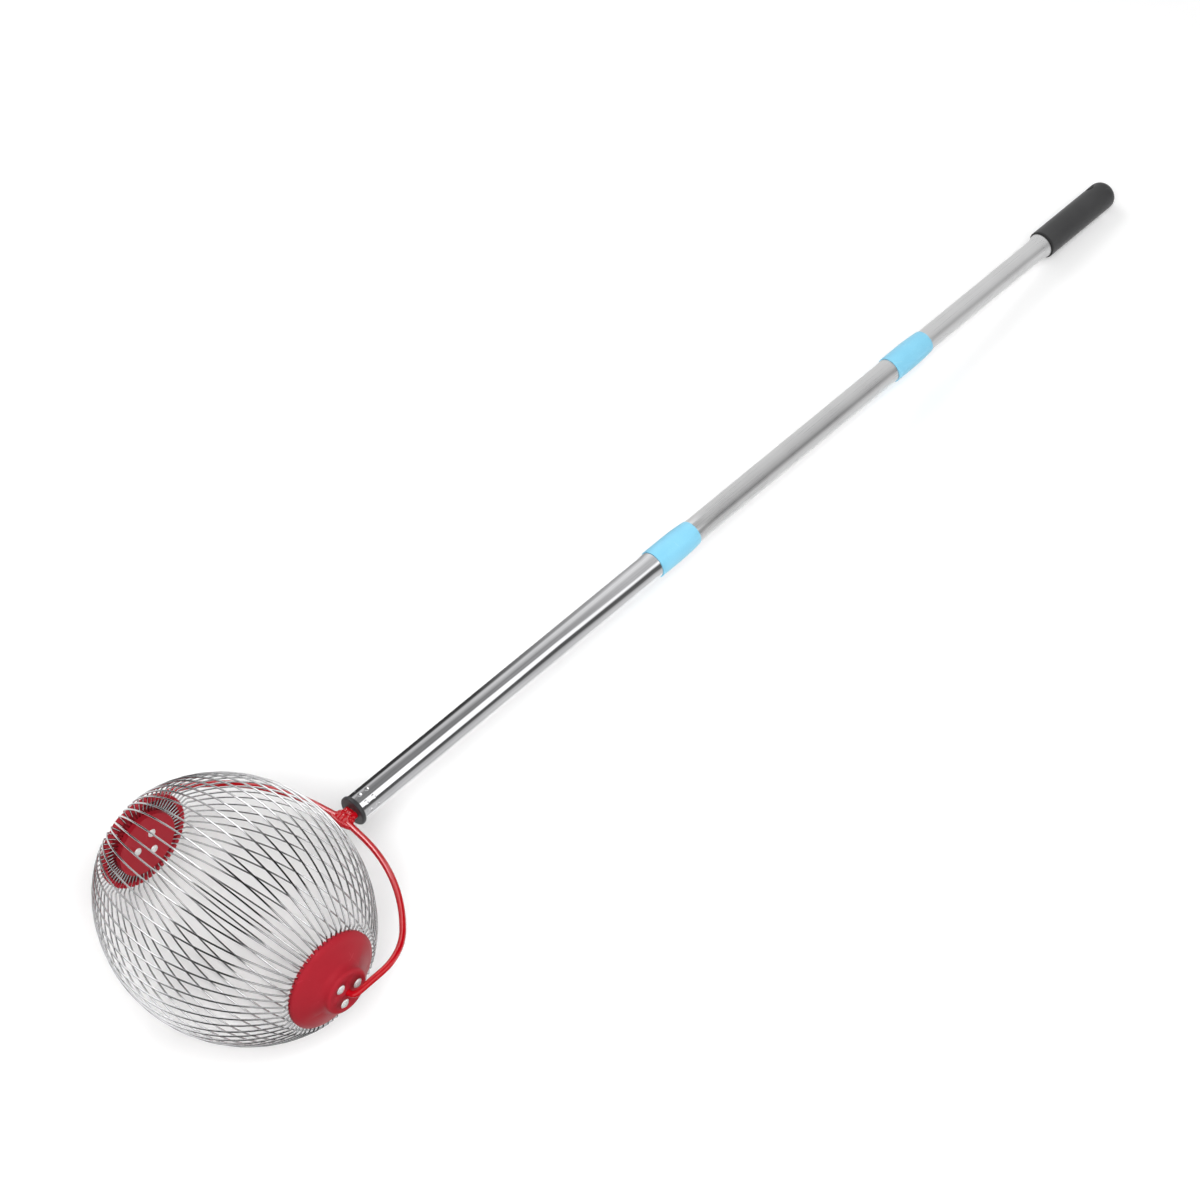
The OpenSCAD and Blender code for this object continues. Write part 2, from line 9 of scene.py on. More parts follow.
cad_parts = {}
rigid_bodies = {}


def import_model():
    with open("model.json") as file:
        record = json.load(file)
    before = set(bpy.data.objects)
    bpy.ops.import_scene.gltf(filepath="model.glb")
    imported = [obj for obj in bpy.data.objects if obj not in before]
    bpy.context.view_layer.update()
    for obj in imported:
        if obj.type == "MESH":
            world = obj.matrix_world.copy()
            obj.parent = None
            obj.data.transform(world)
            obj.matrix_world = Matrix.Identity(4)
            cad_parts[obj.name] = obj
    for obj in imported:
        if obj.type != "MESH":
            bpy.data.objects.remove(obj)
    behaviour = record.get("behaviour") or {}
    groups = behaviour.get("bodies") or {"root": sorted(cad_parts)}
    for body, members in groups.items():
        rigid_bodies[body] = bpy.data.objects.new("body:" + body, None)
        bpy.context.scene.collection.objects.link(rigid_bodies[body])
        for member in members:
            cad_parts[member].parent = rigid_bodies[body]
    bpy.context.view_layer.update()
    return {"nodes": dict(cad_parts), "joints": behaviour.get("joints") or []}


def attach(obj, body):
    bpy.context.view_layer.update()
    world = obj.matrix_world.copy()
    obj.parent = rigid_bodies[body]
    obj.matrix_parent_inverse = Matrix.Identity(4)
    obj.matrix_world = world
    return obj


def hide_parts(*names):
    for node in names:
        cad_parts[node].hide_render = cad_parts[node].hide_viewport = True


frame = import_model()
joints = {joint["name"]: joint for joint in frame["joints"]}

# Axes of the tool: the middle of the cage, the cage axis towards the left cap, the pole and its upper side
MM = 0.001
CAGE = Vector(joints["cage_spin"]["pos_m"])
LEFT = Vector((0.0, 1.0, 0.0))
POLE = Vector(joints["middle_slide"]["axis"]).normalized()
UPPER_SIDE = POLE.cross(LEFT)
TILT = math.asin(-POLE.z)

# Cage, in millimetres: a name that ends in Y is a distance along the cage axis
WIRE_R = 0.8
WIRE_COUNT = 58
WIRE_SIDES = 10
CAGE_R = 110.0
BOW_R = 141.2
KNEE_R = 4.0
WIRE_END_Y = 113.6
WIRE_TIP_R = 26.4
WIRE_TIP_LEN = 10.0
BOSS_Y = 135.3
PLATE_Y = 107.8
# Chance lean of the wires, in radians, and its seed
WIRE_SWAY = 0.012
WIRE_SEED = 7

# Rivets: turns in degrees, and the outlines of the head and of the inner end as radius and rise
RIVET_RING_R = 11.4
RIVET_COUNT = 3
RIVET_SIDES = 28
RIGHT_RIVET_TURN = 0.0
LEFT_RIVET_TURN = 52.0
RIVET_SHANK_R = 2.0
RIVET_SINK = 1.0
RIVET_HEAD = [(0.0, 2.1), (1.7, 2.0), (3.1, 1.5), (4.1, 0.8), (4.7, 0.25), (4.8, 0.0)]
RIVET_TAIL = [(3.8, 0.0), (3.9, 0.35), (3.5, 1.0), (2.6, 1.5), (1.4, 1.75), (0.0, 1.8)]

# Yoke: corners of a rod's middle line across and along the pole, and the radius of the bend at each
ROD_R = 3.0
ROD_SIDES = 24
YOKE_PATH = [(119.9, 0.0), (141.1, 0.0), (141.1, 57.222), (81.3, 117.022), (4.3, 126.476), (4.3, 168.0)]
YOKE_BENDS = [0.0, 5.4, 60.0, 165.0, 5.0, 0.0]
WELD_VOXEL = 0.25

# Pole: starts and ends are counted along it from the middle of the cage
POLE_SIDES = 128
LIP_START = 137.5
LIP_OVER = 1.6
LIP_ROUND = 1.8
LIP_HOLD = 0.6
BUSH_LEN = 32.0
BUSH_SIDES = 96
TUBE_WALL = 0.5
TUBE_EDGE = 0.2
LOWER_R, LOWER_START, LOWER_END = 12.5, 142.0, 564.0
MIDDLE_R, MIDDLE_START, MIDDLE_END = 11.7, 488.0, 904.0
UPPER_R, UPPER_START, UPPER_END = 10.9, 828.0, 1176.0
BELL_LEN = 10.0
COLLAR_BELL = 0.5
GRIP_BELL = 1.9
COLLAR_SEAT = 42.0
COLLAR_LEN = 53.0
COLLAR_STRAIGHT = 22.0
COLLAR_WALL = 0.9
COLLAR_DROP = 1.2
COLLAR_CURVE = 2.2
COLLAR_LIP = 2.0
COLLAR_GAP = 0.3
SEAT_GAP = 0.05
GRIP_R, GRIP_START, GRIP_END = 14.3, 1101.0, 1211.0
GRIP_ROUND = 11.0
GRIP_MOUTH_ROUND = 1.0
# Distances behind the grip's mouth at which its ring of painted shade starts to fade and ends
GRIP_MOUTH_SHADE = (1.8, 3.0)
HANG_R = 4.5
HANG_BACK = 19.0
HANG_TURN = 40.0
HANG_SIDES = 48
# Widening of the hang hole: added radius, and distance from the pole's axis
HANG_FLARE = [(4.2, 16.0), (1.6, 14.0), (0.7, 13.1), (0.2, 12.5), (0.0, 11.8)]
# Crimp dimples, deeper than in the solids to catch the light, and the fine rings of mesh under them
DIMPLE_ROWS = 9
DIMPLE_R = 2.1
DIMPLE_DEPTH = 0.5
DIMPLE_PLACES = (6.5, 15.0)
DIMPLE_REACH = 20.0
DIMPLE_SIDES = 30
FINE_START, FINE_STEP, FINE_RINGS = 3.5, 0.25, 60


# Mesh making

def new_piece(name, vertices, faces, edges=()):
    """Object at the origin with the given mesh, in metres."""
    mesh = bpy.data.meshes.new(name)
    mesh.from_pydata(vertices, edges, faces)
    mesh.validate()
    piece = bpy.data.objects.new(name, mesh)
    bpy.context.scene.collection.objects.link(piece)
    return piece


def smooth(piece, angle=35.0):
    """Smooth shading, apart from edges sharper than the angle in degrees."""
    piece.data.shade_smooth()
    piece.data.set_sharp_from_angle(angle=math.radians(angle))


def tidy_mesh(piece):
    """Merges doubled points and turns all faces outwards."""
    mesh = bmesh.new()
    mesh.from_mesh(piece.data)
    bmesh.ops.remove_doubles(mesh, verts=mesh.verts, dist=1e-6)
    bmesh.ops.recalc_face_normals(mesh, faces=mesh.faces)
    mesh.to_mesh(piece.data)
    mesh.free()


def pole_point(station, radius, angle):
    """Point round the pole: angle 0 is the upper side, 90 degrees the side of the left cap."""
    side = UPPER_SIDE * math.cos(angle) + LEFT * math.sin(angle)
    return CAGE + (POLE * station + side * radius) * MM


def lathe_mesh(profile, point, segments, closed):
    """Vertices and faces of a profile of (radius, station) turned round an axis."""
    vertices = []
    rings = []
    for radius, station in profile:
        if radius < 1e-6:
            vertices.append(point(station, 0.0, 0.0))
            rings.append([len(vertices) - 1])
            continue
        rings.append(list(range(len(vertices), len(vertices) + segments)))
        for step in range(segments):
            vertices.append(point(station, radius, 2 * math.pi * step / segments))
    pairs = list(zip(rings, rings[1:]))
    if closed:
        pairs.append((rings[-1], rings[0]))
    faces = []
    for low, high in pairs:
        if len(low) == 1 and len(high) == 1:
            continue
        for step in range(segments):
            after = (step + 1) % segments
            if len(low) == 1:
                faces.append((low[0], high[after], high[step]))
            elif len(high) == 1:
                faces.append((low[step], low[after], high[0]))
            else:
                faces.append((low[step], low[after], high[after], high[step]))
    return vertices, faces


def pole_lathe(name, profile, segments, closed=True):
    """Piece turned round the pole's axis."""
    piece = new_piece(name, *lathe_mesh(profile, pole_point, segments, closed))
    tidy_mesh(piece)
    return piece


def arc(middle, radius, start, end, steps):
    """Points of an arc in the plane of the profile, angles in degrees."""
    points = []
    for step in range(steps + 1):
        angle = math.radians(start + (end - start) * step / steps)
        points.append((middle[0] + radius * math.cos(angle), middle[1] + radius * math.sin(angle)))
    return points


def bent_path(corners, bends, bend_steps, straight_step):
    """Points along a flat path whose corners are rounded, with even steps on the straights."""
    points = [Vector(corners[0])]
    for index in range(1, len(corners)):
        here = Vector(corners[index])
        inward = (here - Vector(corners[index - 1])).normalized()
        turn = 0.0
        if index < len(corners) - 1:
            onward = (Vector(corners[index + 1]) - here).normalized()
            turn = math.atan2(inward.x * onward.y - inward.y * onward.x, inward.dot(onward))
        run = bends[index] * math.tan(abs(turn) / 2)
        start = here - inward * run
        gap = (start - points[-1]).length
        count = max(1, round(gap / straight_step))
        last = points[-1]
        points += [last.lerp(start, step / count) for step in range(1, count + 1)]
        if turn:
            middle = start + Vector((-inward.y, inward.x)) * math.copysign(bends[index], turn)
            spoke = start - middle
            for step in range(1, bend_steps + 1):
                spin = Matrix.Rotation(turn * step / bend_steps, 2)
                points.append(middle + spin @ spoke)
    return points


def sweep(name, points, normal, radius, sides):
    """Round rod along points of a flat path, with flat ends."""
    vertices = []
    rings = []
    for index, point in enumerate(points):
        ahead = points[min(index + 1, len(points) - 1)] - points[max(index - 1, 0)]
        across = ahead.normalized().cross(normal)
        rings.append(len(vertices))
        for step in range(sides):
            angle = 2 * math.pi * step / sides
            vertices.append(point + (across * math.cos(angle) + normal * math.sin(angle)) * radius)
    faces = []
    for low, high in zip(rings, rings[1:]):
        for step in range(sides):
            after = (step + 1) % sides
            faces.append((low + step, low + after, high + after, high + step))
    faces.append(tuple(range(rings[0], rings[0] + sides)))
    faces.append(tuple(range(rings[-1], rings[-1] + sides)))
    piece = new_piece(name, vertices, faces)
    tidy_mesh(piece)
    return piece


def solid_copy(name, node):
    """Copy of a solid's mesh with its triangles joined, so that it can be shaded smooth."""
    piece = bpy.data.objects.new(name, frame["nodes"][node].data.copy())
    piece.data.materials.clear()
    bpy.context.scene.collection.objects.link(piece)
    mesh = bmesh.new()
    mesh.from_mesh(piece.data)
    bmesh.ops.remove_doubles(mesh, verts=mesh.verts, dist=2e-6)
    bmesh.ops.dissolve_limit(mesh, angle_limit=math.radians(0.2), verts=mesh.verts, edges=mesh.edges)
    bmesh.ops.triangulate(mesh, faces=[face for face in mesh.faces if len(face.verts) > 4])
    mesh.to_mesh(piece.data)
    mesh.free()
    piece.data.update()
    return piece


def settle(piece, body, slot, material, *nodes):
    """Gives a piece its finish, its body and the solids that it stands for."""
    if material.name not in [finish.name for finish in piece.data.materials if finish]:
        piece.data.materials.clear()
        piece.data.materials.append(material)
    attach(piece, body)
    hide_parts(*nodes)


def realised(piece):
    """Turns an object with its modifiers into a plain mesh."""
    depsgraph = bpy.context.evaluated_depsgraph_get()
    mesh = bpy.data.meshes.new_from_object(piece.evaluated_get(depsgraph))
    piece.modifiers.clear()
    old = piece.data
    piece.data = mesh
    mesh.name = piece.name
    bpy.data.meshes.remove(old)


# Shader groups and materials

# Scuffs: warp and width of the scratches, the noise above which a spot is rubbed, and their strength
SCRATCH_WARP = (0.02, 0.02, 0.02)
SCRATCH_WIDTH = 0.012
RUBBED_LEVEL = 0.6
SCUFF_AMOUNT = 0.5
# Part of a noise's range that the finishes use
NOISE_RANGE = (0.3, 0.7)
# Roughness: what noise adds or takes on mouldings, and by which factors it runs on metal
MOULDED_ROUGH = 0.06
METAL_ROUGH = (0.75, 1.3)
# Depth of the relief on mouldings and on metal, in metres
GRAIN_DEPTH = 0.0002
LINE_DEPTH = 0.0001


def linear(red, green, blue):
    """Linear colour of an sRGB colour given from 0 to 255."""
    values = []
    for channel in (red, green, blue):
        part = channel / 255
        values.append(part / 12.92 if part <= 0.04045 else ((part + 0.055) / 1.055) ** 2.4)
    return (*values, 1.0)


def shader_group(name, inputs, outputs):
    """Empty shader group with named sockets, and its two ends."""
    group = bpy.data.node_groups.new(name, "ShaderNodeTree")
    for label, kind, value in inputs:
        socket = group.interface.new_socket(name=label, in_out="INPUT", socket_type=kind)
        if value is not None:
            socket.default_value = value
    for label, kind in outputs:
        group.interface.new_socket(name=label, in_out="OUTPUT", socket_type=kind)
    return group, group.nodes.new("NodeGroupInput"), group.nodes.new("NodeGroupOutput")


def feed(tree, socket, value):
    """Gives a socket a plain value, or links it to another socket."""
    if isinstance(value, bpy.types.NodeSocket):
        tree.links.new(value, socket)
    else:
        socket.default_value = value


def math_node(tree, operation, *values):
    """Result of a math node on numbers or sockets."""
    node = tree.nodes.new("ShaderNodeMath")
    node.operation = operation
    for socket, value in zip(node.inputs, values):
        feed(tree, socket, value)
    return node.outputs[0]


def noise(tree, vector, scale, detail=2.0):
    """Noise texture whose scale is a number or a socket."""
    node = tree.nodes.new("ShaderNodeTexNoise")
    node.inputs["Detail"].default_value = detail
    tree.links.new(vector, node.inputs["Vector"])
    feed(tree, node.inputs["Scale"], scale)
    return node


def weighed(tree, fine, broad, share):
    """Share of a fine noise, with a broad one for the rest."""
    rest = math_node(tree, "MULTIPLY", broad.outputs["Fac"], 1.0 - share)
    return math_node(tree, "MULTIPLY_ADD", fine.outputs["Fac"], share, rest)


def make_moulded_grain():
    """Fine pebble of a moulded surface, with broad soft cloudiness."""
    group, given, put = shader_group(
        "moulded grain",
        [
            ("Vector", "NodeSocketVector", None),
            ("Grain scale", "NodeSocketFloat", 900.0),
            ("Cloud scale", "NodeSocketFloat", 30.0),
        ],
        [("Tone", "NodeSocketFloat"), ("Height", "NodeSocketFloat")],
    )
    vector = given.outputs["Vector"]
    grain = noise(group, vector, given.outputs["Grain scale"])
    cloud = noise(group, vector, given.outputs["Cloud scale"], detail=3.0)
    group.links.new(weighed(group, grain, cloud, share=0.35), put.inputs["Tone"])
    group.links.new(grain.outputs["Fac"], put.inputs["Height"])
    return group


def make_drawn_lines():
    """Fine lines that run along X, as drawing through a die leaves on tube and wire."""
    group, given, put = shader_group(
        "drawn lines",
        [
            ("Vector", "NodeSocketVector", None),
            ("Along", "NodeSocketFloat", 6.0),
            ("Across", "NodeSocketFloat", 1400.0),
        ],
        [("Tone", "NodeSocketFloat"), ("Height", "NodeSocketFloat")],
    )
    vector = given.outputs["Vector"]
    scales = group.nodes.new("ShaderNodeCombineXYZ")
    for axis, label in (("X", "Along"), ("Y", "Across"), ("Z", "Across")):
        group.links.new(given.outputs[label], scales.inputs[axis])
    stretch = group.nodes.new("ShaderNodeVectorMath")
    stretch.operation = "MULTIPLY"
    group.links.new(vector, stretch.inputs[0])
    group.links.new(scales.outputs[0], stretch.inputs[1])
    lines = noise(group, stretch.outputs[0], 1.0, detail=4.0)
    smear = noise(group, vector, 24.0, detail=3.0)
    group.links.new(weighed(group, lines, smear, share=0.6), put.inputs["Tone"])
    group.links.new(lines.outputs["Fac"], put.inputs["Height"])
    return group


def make_scuffs():
    """Sparse fine scratches and rubbed spots, as a mask."""
    group, given, put = shader_group(
        "handling scuffs",
        [
            ("Vector", "NodeSocketVector", None),
            ("Scale", "NodeSocketFloat", 60.0),
            ("Amount", "NodeSocketFloat", 0.5),
        ],
        [("Mask", "NodeSocketFloat")],
    )
    vector = given.outputs["Vector"]
    scale = given.outputs["Scale"]
    warp = noise(group, vector, 12.0)
    bend = group.nodes.new("ShaderNodeVectorMath")
    bend.operation = "MULTIPLY_ADD"
    for socket, value in zip(bend.inputs, (warp.outputs["Color"], SCRATCH_WARP, vector)):
        feed(group, socket, value)
    scratch = group.nodes.new("ShaderNodeTexVoronoi")
    scratch.feature = "DISTANCE_TO_EDGE"
    group.links.new(bend.outputs[0], scratch.inputs["Vector"])
    group.links.new(scale, scratch.inputs["Scale"])
    patch = noise(group, vector, scale, detail=4.0)
    line = math_node(group, "LESS_THAN", scratch.outputs["Distance"], SCRATCH_WIDTH)
    spot = math_node(group, "GREATER_THAN", patch.outputs["Fac"], RUBBED_LEVEL)
    mask = math_node(group, "MULTIPLY", line, spot)
    group.links.new(math_node(group, "MULTIPLY", mask, given.outputs["Amount"]), put.inputs["Mask"])
    return group


MOULDED_GRAIN = make_moulded_grain()
DRAWN_LINES = make_drawn_lines()
SCUFFS = make_scuffs()


def surface(name, **values):
    """Material with a Principled shader whose plain values sit on its own sockets."""
    material = bpy.data.materials.new(name)
    material.use_nodes = True
    shader = material.node_tree.nodes["Principled BSDF"]
    for label, value in values.items():
        shader.inputs[label.replace("_", " ")].default_value = value
    return material, material.node_tree, shader


def coordinates(tree, turn=(0.0, 0.0, 0.0), place=(0.0, 0.0, 0.0)):
    """Object coordinates, moved and turned for a pattern."""
    source = tree.nodes.new("ShaderNodeTexCoord")
    mapping = tree.nodes.new("ShaderNodeMapping")
    mapping.vector_type = "TEXTURE"
    mapping.inputs["Location"].default_value = place
    mapping.inputs["Rotation"].default_value = turn
    tree.links.new(source.outputs["Object"], mapping.inputs["Vector"])
    return mapping.outputs["Vector"]


def placed(tree, group, vector, **values):
    """Shader group set into a material, with its own values."""
    node = tree.nodes.new("ShaderNodeGroup")
    node.node_tree = group
    tree.links.new(vector, node.inputs["Vector"])
    for label, value in values.items():
        node.inputs[label.replace("_", " ")].default_value = value
    return node


def blended(tree, factor, first, second):
    """Mix of two colours by a mask."""
    mix = tree.nodes.new("ShaderNodeMix")
    mix.data_type = "RGBA"
    tree.links.new(factor, mix.inputs["Factor"])
    feed(tree, mix.inputs[6], first)
    feed(tree, mix.inputs[7], second)
    return mix.outputs[2]


def ranged(tree, value, source, target, kind="LINEAR"):
    """Turns one range of values into another, evenly or softly."""
    node = tree.nodes.new("ShaderNodeMapRange")
    node.interpolation_type = kind
    for label, number in zip(("From Min", "From Max", "To Min", "To Max"), (*source, *target)):
        node.inputs[label].default_value = number
    tree.links.new(value, node.inputs["Value"])
    return node.outputs[0]


def bumped(tree, shader, height, strength, distance):
    """Gives a shader a relief."""
    bump = tree.nodes.new("ShaderNodeBump")
    bump.inputs["Strength"].default_value = strength
    bump.inputs["Distance"].default_value = distance
    tree.links.new(height, bump.inputs["Height"])
    tree.links.new(bump.outputs["Normal"], shader.inputs["Normal"])


def moulded(name, dark, light, rough, grain, bump, scuff=None, **values):
    """Moulded plastic, rubber or paint: cloudy colour, fine pebble, rubbed marks."""
    material, tree, shader = surface(name, **values)
    vector = coordinates(tree)
    texture = placed(tree, MOULDED_GRAIN, vector, Grain_scale=grain)
    colour = blended(tree, ranged(tree, texture.outputs["Tone"], NOISE_RANGE, (0.0, 1.0)), dark, light)
    if scuff:
        marks = placed(tree, SCUFFS, vector, Amount=SCUFF_AMOUNT)
        colour = blended(tree, marks.outputs["Mask"], colour, scuff)
    tree.links.new(colour, shader.inputs["Base Color"])
    limits = (rough - MOULDED_ROUGH, rough + MOULDED_ROUGH)
    tree.links.new(ranged(tree, texture.outputs["Tone"], NOISE_RANGE, limits), shader.inputs["Roughness"])
    bumped(tree, shader, texture.outputs["Height"], bump, GRAIN_DEPTH)
    return material


def paint_shade(material, attribute, dark):
    """Painted shade: blends a finish towards a dark colour where the piece's attribute says so."""
    tree = material.node_tree
    base = tree.nodes["Principled BSDF"].inputs["Base Color"]
    level = tree.nodes.new("ShaderNodeAttribute")
    level.attribute_name = attribute
    tree.links.new(blended(tree, level.outputs["Fac"], base.links[0].from_socket, dark), base)


def drawn_metal(name, dark, light, rough, turn, across, bump, metallic=1.0):
    """Metal with lines along its length and a slightly uneven shine."""
    material, tree, shader = surface(name, Metallic=metallic)
    vector = coordinates(tree, turn)
    texture = placed(tree, DRAWN_LINES, vector, Across=across)
    colour = blended(tree, ranged(tree, texture.outputs["Tone"], NOISE_RANGE, (0.0, 1.0)), dark, light)
    tree.links.new(colour, shader.inputs["Base Color"])
    limits = [rough * factor for factor in METAL_ROUGH]
    tree.links.new(ranged(tree, texture.outputs["Tone"], NOISE_RANGE, limits), shader.inputs["Roughness"])
    bumped(tree, shader, texture.outputs["Height"], bump, LINE_DEPTH)
    return material


# Finishes: dark and light tone, roughness, fineness of grain or lines, relief, and tone of rubbed marks
ALONG_POLE = (0.0, TILT, 0.0)
ALONG_CAGE = (0.0, 0.0, math.pi / 2)
CAP_RED = moulded(
    "cap red", linear(158, 24, 38), linear(170, 32, 46),
    rough=0.5, grain=1500.0, bump=0.25, scuff=linear(186, 62, 72), Specular_IOR_Level=0.2,
)
YOKE_RED = moulded(
    "yoke red paint", linear(172, 4, 18), linear(188, 8, 24),
    rough=0.3, grain=420.0, bump=0.04, scuff=linear(196, 44, 52),
    Specular_IOR_Level=0.02, Coat_Weight=1.0, Coat_Roughness=0.05,
)
COLLAR_BLUE = moulded(
    "collar blue", linear(128, 206, 238), linear(146, 220, 249),
    rough=0.36, grain=1200.0, bump=0.1, scuff=linear(170, 226, 246),
)
GRIP_GREY = moulded(
    "grip rubber", linear(46, 46, 47), linear(60, 60, 61),
    rough=0.66, grain=1800.0, bump=0.5, scuff=linear(90, 90, 90), Sheen_Weight=0.25, Sheen_Roughness=0.35,
)
# Painted shade: the grip's end face round its mouth is darkened, where it lies in shadow
paint_shade(GRIP_GREY, "mouth", linear(20, 20, 21))
BUSH_BLACK = moulded(
    "bush black", linear(34, 34, 36), linear(48, 48, 50),
    rough=0.42, grain=1300.0, bump=0.2, scuff=linear(80, 80, 82),
)
NYLON = moulded(
    "lock nylon", linear(216, 212, 200), linear(230, 227, 217), rough=0.45, grain=900.0, bump=0.1,
)
WIRE_STEEL = drawn_metal(
    "cage wire steel", linear(174, 174, 175), linear(196, 196, 197),
    rough=0.08, turn=ALONG_CAGE, across=2600.0, bump=0.05,
)
TUBE_BRIGHT = drawn_metal(
    "bright tube", linear(200, 200, 202), linear(224, 224, 226),
    rough=0.1, turn=ALONG_POLE, across=1500.0, bump=0.03,
)
TUBE_SATIN = drawn_metal(
    "satin tube", linear(196, 196, 197), linear(214, 214, 214),
    rough=0.3, turn=ALONG_POLE, across=1700.0, bump=0.08,
)
RIVET_BRIGHT = drawn_metal(
    "rivet metal", linear(212, 211, 210), linear(232, 231, 230),
    rough=0.25, turn=ALONG_CAGE, across=900.0, bump=0.08, metallic=0.3,
)
NUT_STEEL = drawn_metal(
    "push nut steel", linear(150, 150, 150), linear(180, 180, 180),
    rough=0.35, turn=ALONG_CAGE, across=900.0, bump=0.1,
)


# Geometry node trees

def node_tree(name, inputs):
    """Empty geometry tree with named inputs, and its two ends."""
    tree = bpy.data.node_groups.new(name, "GeometryNodeTree")
    tree.interface.new_socket(name="Geometry", in_out="INPUT", socket_type="NodeSocketGeometry")
    for label, kind in inputs:
        tree.interface.new_socket(name=label, in_out="INPUT", socket_type=kind)
    tree.interface.new_socket(name="Geometry", in_out="OUTPUT", socket_type="NodeSocketGeometry")
    return tree, tree.nodes.new("NodeGroupInput"), tree.nodes.new("NodeGroupOutput")


RING_INPUTS = [
    ("Copies", "NodeSocketInt"), ("First turn", "NodeSocketFloat"), ("Middle", "NodeSocketVector"),
    ("Sway", "NodeSocketFloat"), ("Seed", "NodeSocketInt"), ("Foot", "NodeSocketVector"),
    ("Material", "NodeSocketMaterial"),
]


def ring_nodes(tree, given, shape):
    """Copies of a shape round the cage axis, each leaning about its foot, set round the cage's middle."""
    points = tree.nodes.new("GeometryNodePoints")
    index = tree.nodes.new("GeometryNodeInputIndex")
    step = math_node(tree, "DIVIDE", 2 * math.pi, given.outputs["Copies"])
    turn = math_node(tree, "MULTIPLY_ADD", index.outputs[0], step, given.outputs["First turn"])
    least = math_node(tree, "MULTIPLY", given.outputs["Sway"], -1.0)
    spin = tree.nodes.new("ShaderNodeCombineXYZ")
    chance = tree.nodes.new("FunctionNodeRandomValue")
    sway = tree.nodes.new("ShaderNodeCombineXYZ")
    lean = tree.nodes.new("GeometryNodeRotateInstances")
    place = tree.nodes.new("GeometryNodeInstanceOnPoints")
    move = tree.nodes.new("GeometryNodeTransform")
    real = tree.nodes.new("GeometryNodeRealizeInstances")
    paint = tree.nodes.new("GeometryNodeSetMaterial")
    link = tree.links.new
    link(given.outputs["Copies"], points.inputs["Count"])
    link(turn, spin.inputs["Y"])
    link(least, chance.inputs[2])
    link(given.outputs["Sway"], chance.inputs[3])
    link(given.outputs["Seed"], chance.inputs["Seed"])
    link(chance.outputs[1], sway.inputs["Y"])
    link(points.outputs[0], place.inputs["Points"])
    link(shape, place.inputs["Instance"])
    link(spin.outputs[0], place.inputs["Rotation"])
    link(place.outputs[0], lean.inputs["Instances"])
    link(sway.outputs[0], lean.inputs["Rotation"])
    link(given.outputs["Foot"], lean.inputs["Pivot Point"])
    link(lean.outputs[0], real.inputs[0])
    link(real.outputs[0], move.inputs[0])
    link(given.outputs["Middle"], move.inputs["Translation"])
    link(move.outputs[0], paint.inputs["Geometry"])
    link(given.outputs["Material"], paint.inputs["Material"])
    return paint.outputs[0]


def make_wire_ring():
    """A line becomes a round wire, which is copied round the cage."""
    wire_inputs = [("Wire radius", "NodeSocketFloat"), ("Sides", "NodeSocketInt")]
    tree, given, put = node_tree("wire ring", RING_INPUTS + wire_inputs)
    to_curve = tree.nodes.new("GeometryNodeMeshToCurve")
    profile = tree.nodes.new("GeometryNodeCurvePrimitiveCircle")
    wire = tree.nodes.new("GeometryNodeCurveToMesh")
    wire.inputs["Fill Caps"].default_value = True
    shade = tree.nodes.new("GeometryNodeSetShadeSmooth")
    tree.links.new(given.outputs["Geometry"], to_curve.inputs[0])
    tree.links.new(given.outputs["Wire radius"], profile.inputs["Radius"])
    tree.links.new(given.outputs["Sides"], profile.inputs["Resolution"])
    tree.links.new(to_curve.outputs[0], wire.inputs["Curve"])
    tree.links.new(profile.outputs[0], wire.inputs["Profile Curve"])
    tree.links.new(wire.outputs[0], shade.inputs[0])
    tree.links.new(ring_nodes(tree, given, shade.outputs[0]), put.inputs[0])
    return tree


def make_rivet_ring():
    """One rivet is copied round the cage axis."""
    tree, given, put = node_tree("rivet ring", RING_INPUTS)
    tree.links.new(ring_nodes(tree, given, given.outputs["Geometry"]), put.inputs[0])
    return tree


def grow(piece, tree, values):
    """Runs a tree on a piece and keeps the result as a plain mesh."""
    modifier = piece.modifiers.new("ring", "NODES")
    modifier.node_group = tree
    for item in tree.interface.items_tree:
        if item.in_out == "INPUT" and item.name in values:
            modifier[item.identifier] = values[item.name]
    realised(piece)


# Cage

def wire_line():
    """Middle line of one wire in the plane of the cage axis: X outwards, Y along the axis."""
    bow_middle = CAGE_R - WIRE_R - BOW_R
    knee_y = WIRE_END_Y - KNEE_R
    knee_x = bow_middle + math.sqrt((BOW_R - KNEE_R) ** 2 - knee_y ** 2)
    half = math.degrees(math.atan2(knee_y, knee_x - bow_middle))
    bow = arc((bow_middle, 0.0), BOW_R, 0.0, half, steps=20)
    knee = arc((knee_x, knee_y), KNEE_R, half, 90.0, steps=5)
    tip = [(WIRE_TIP_R + WIRE_TIP_LEN, WIRE_END_Y), (WIRE_TIP_R, WIRE_END_Y)]
    side = bow + knee[1:] + tip
    return [(x, -y) for x, y in reversed(side[1:])] + side


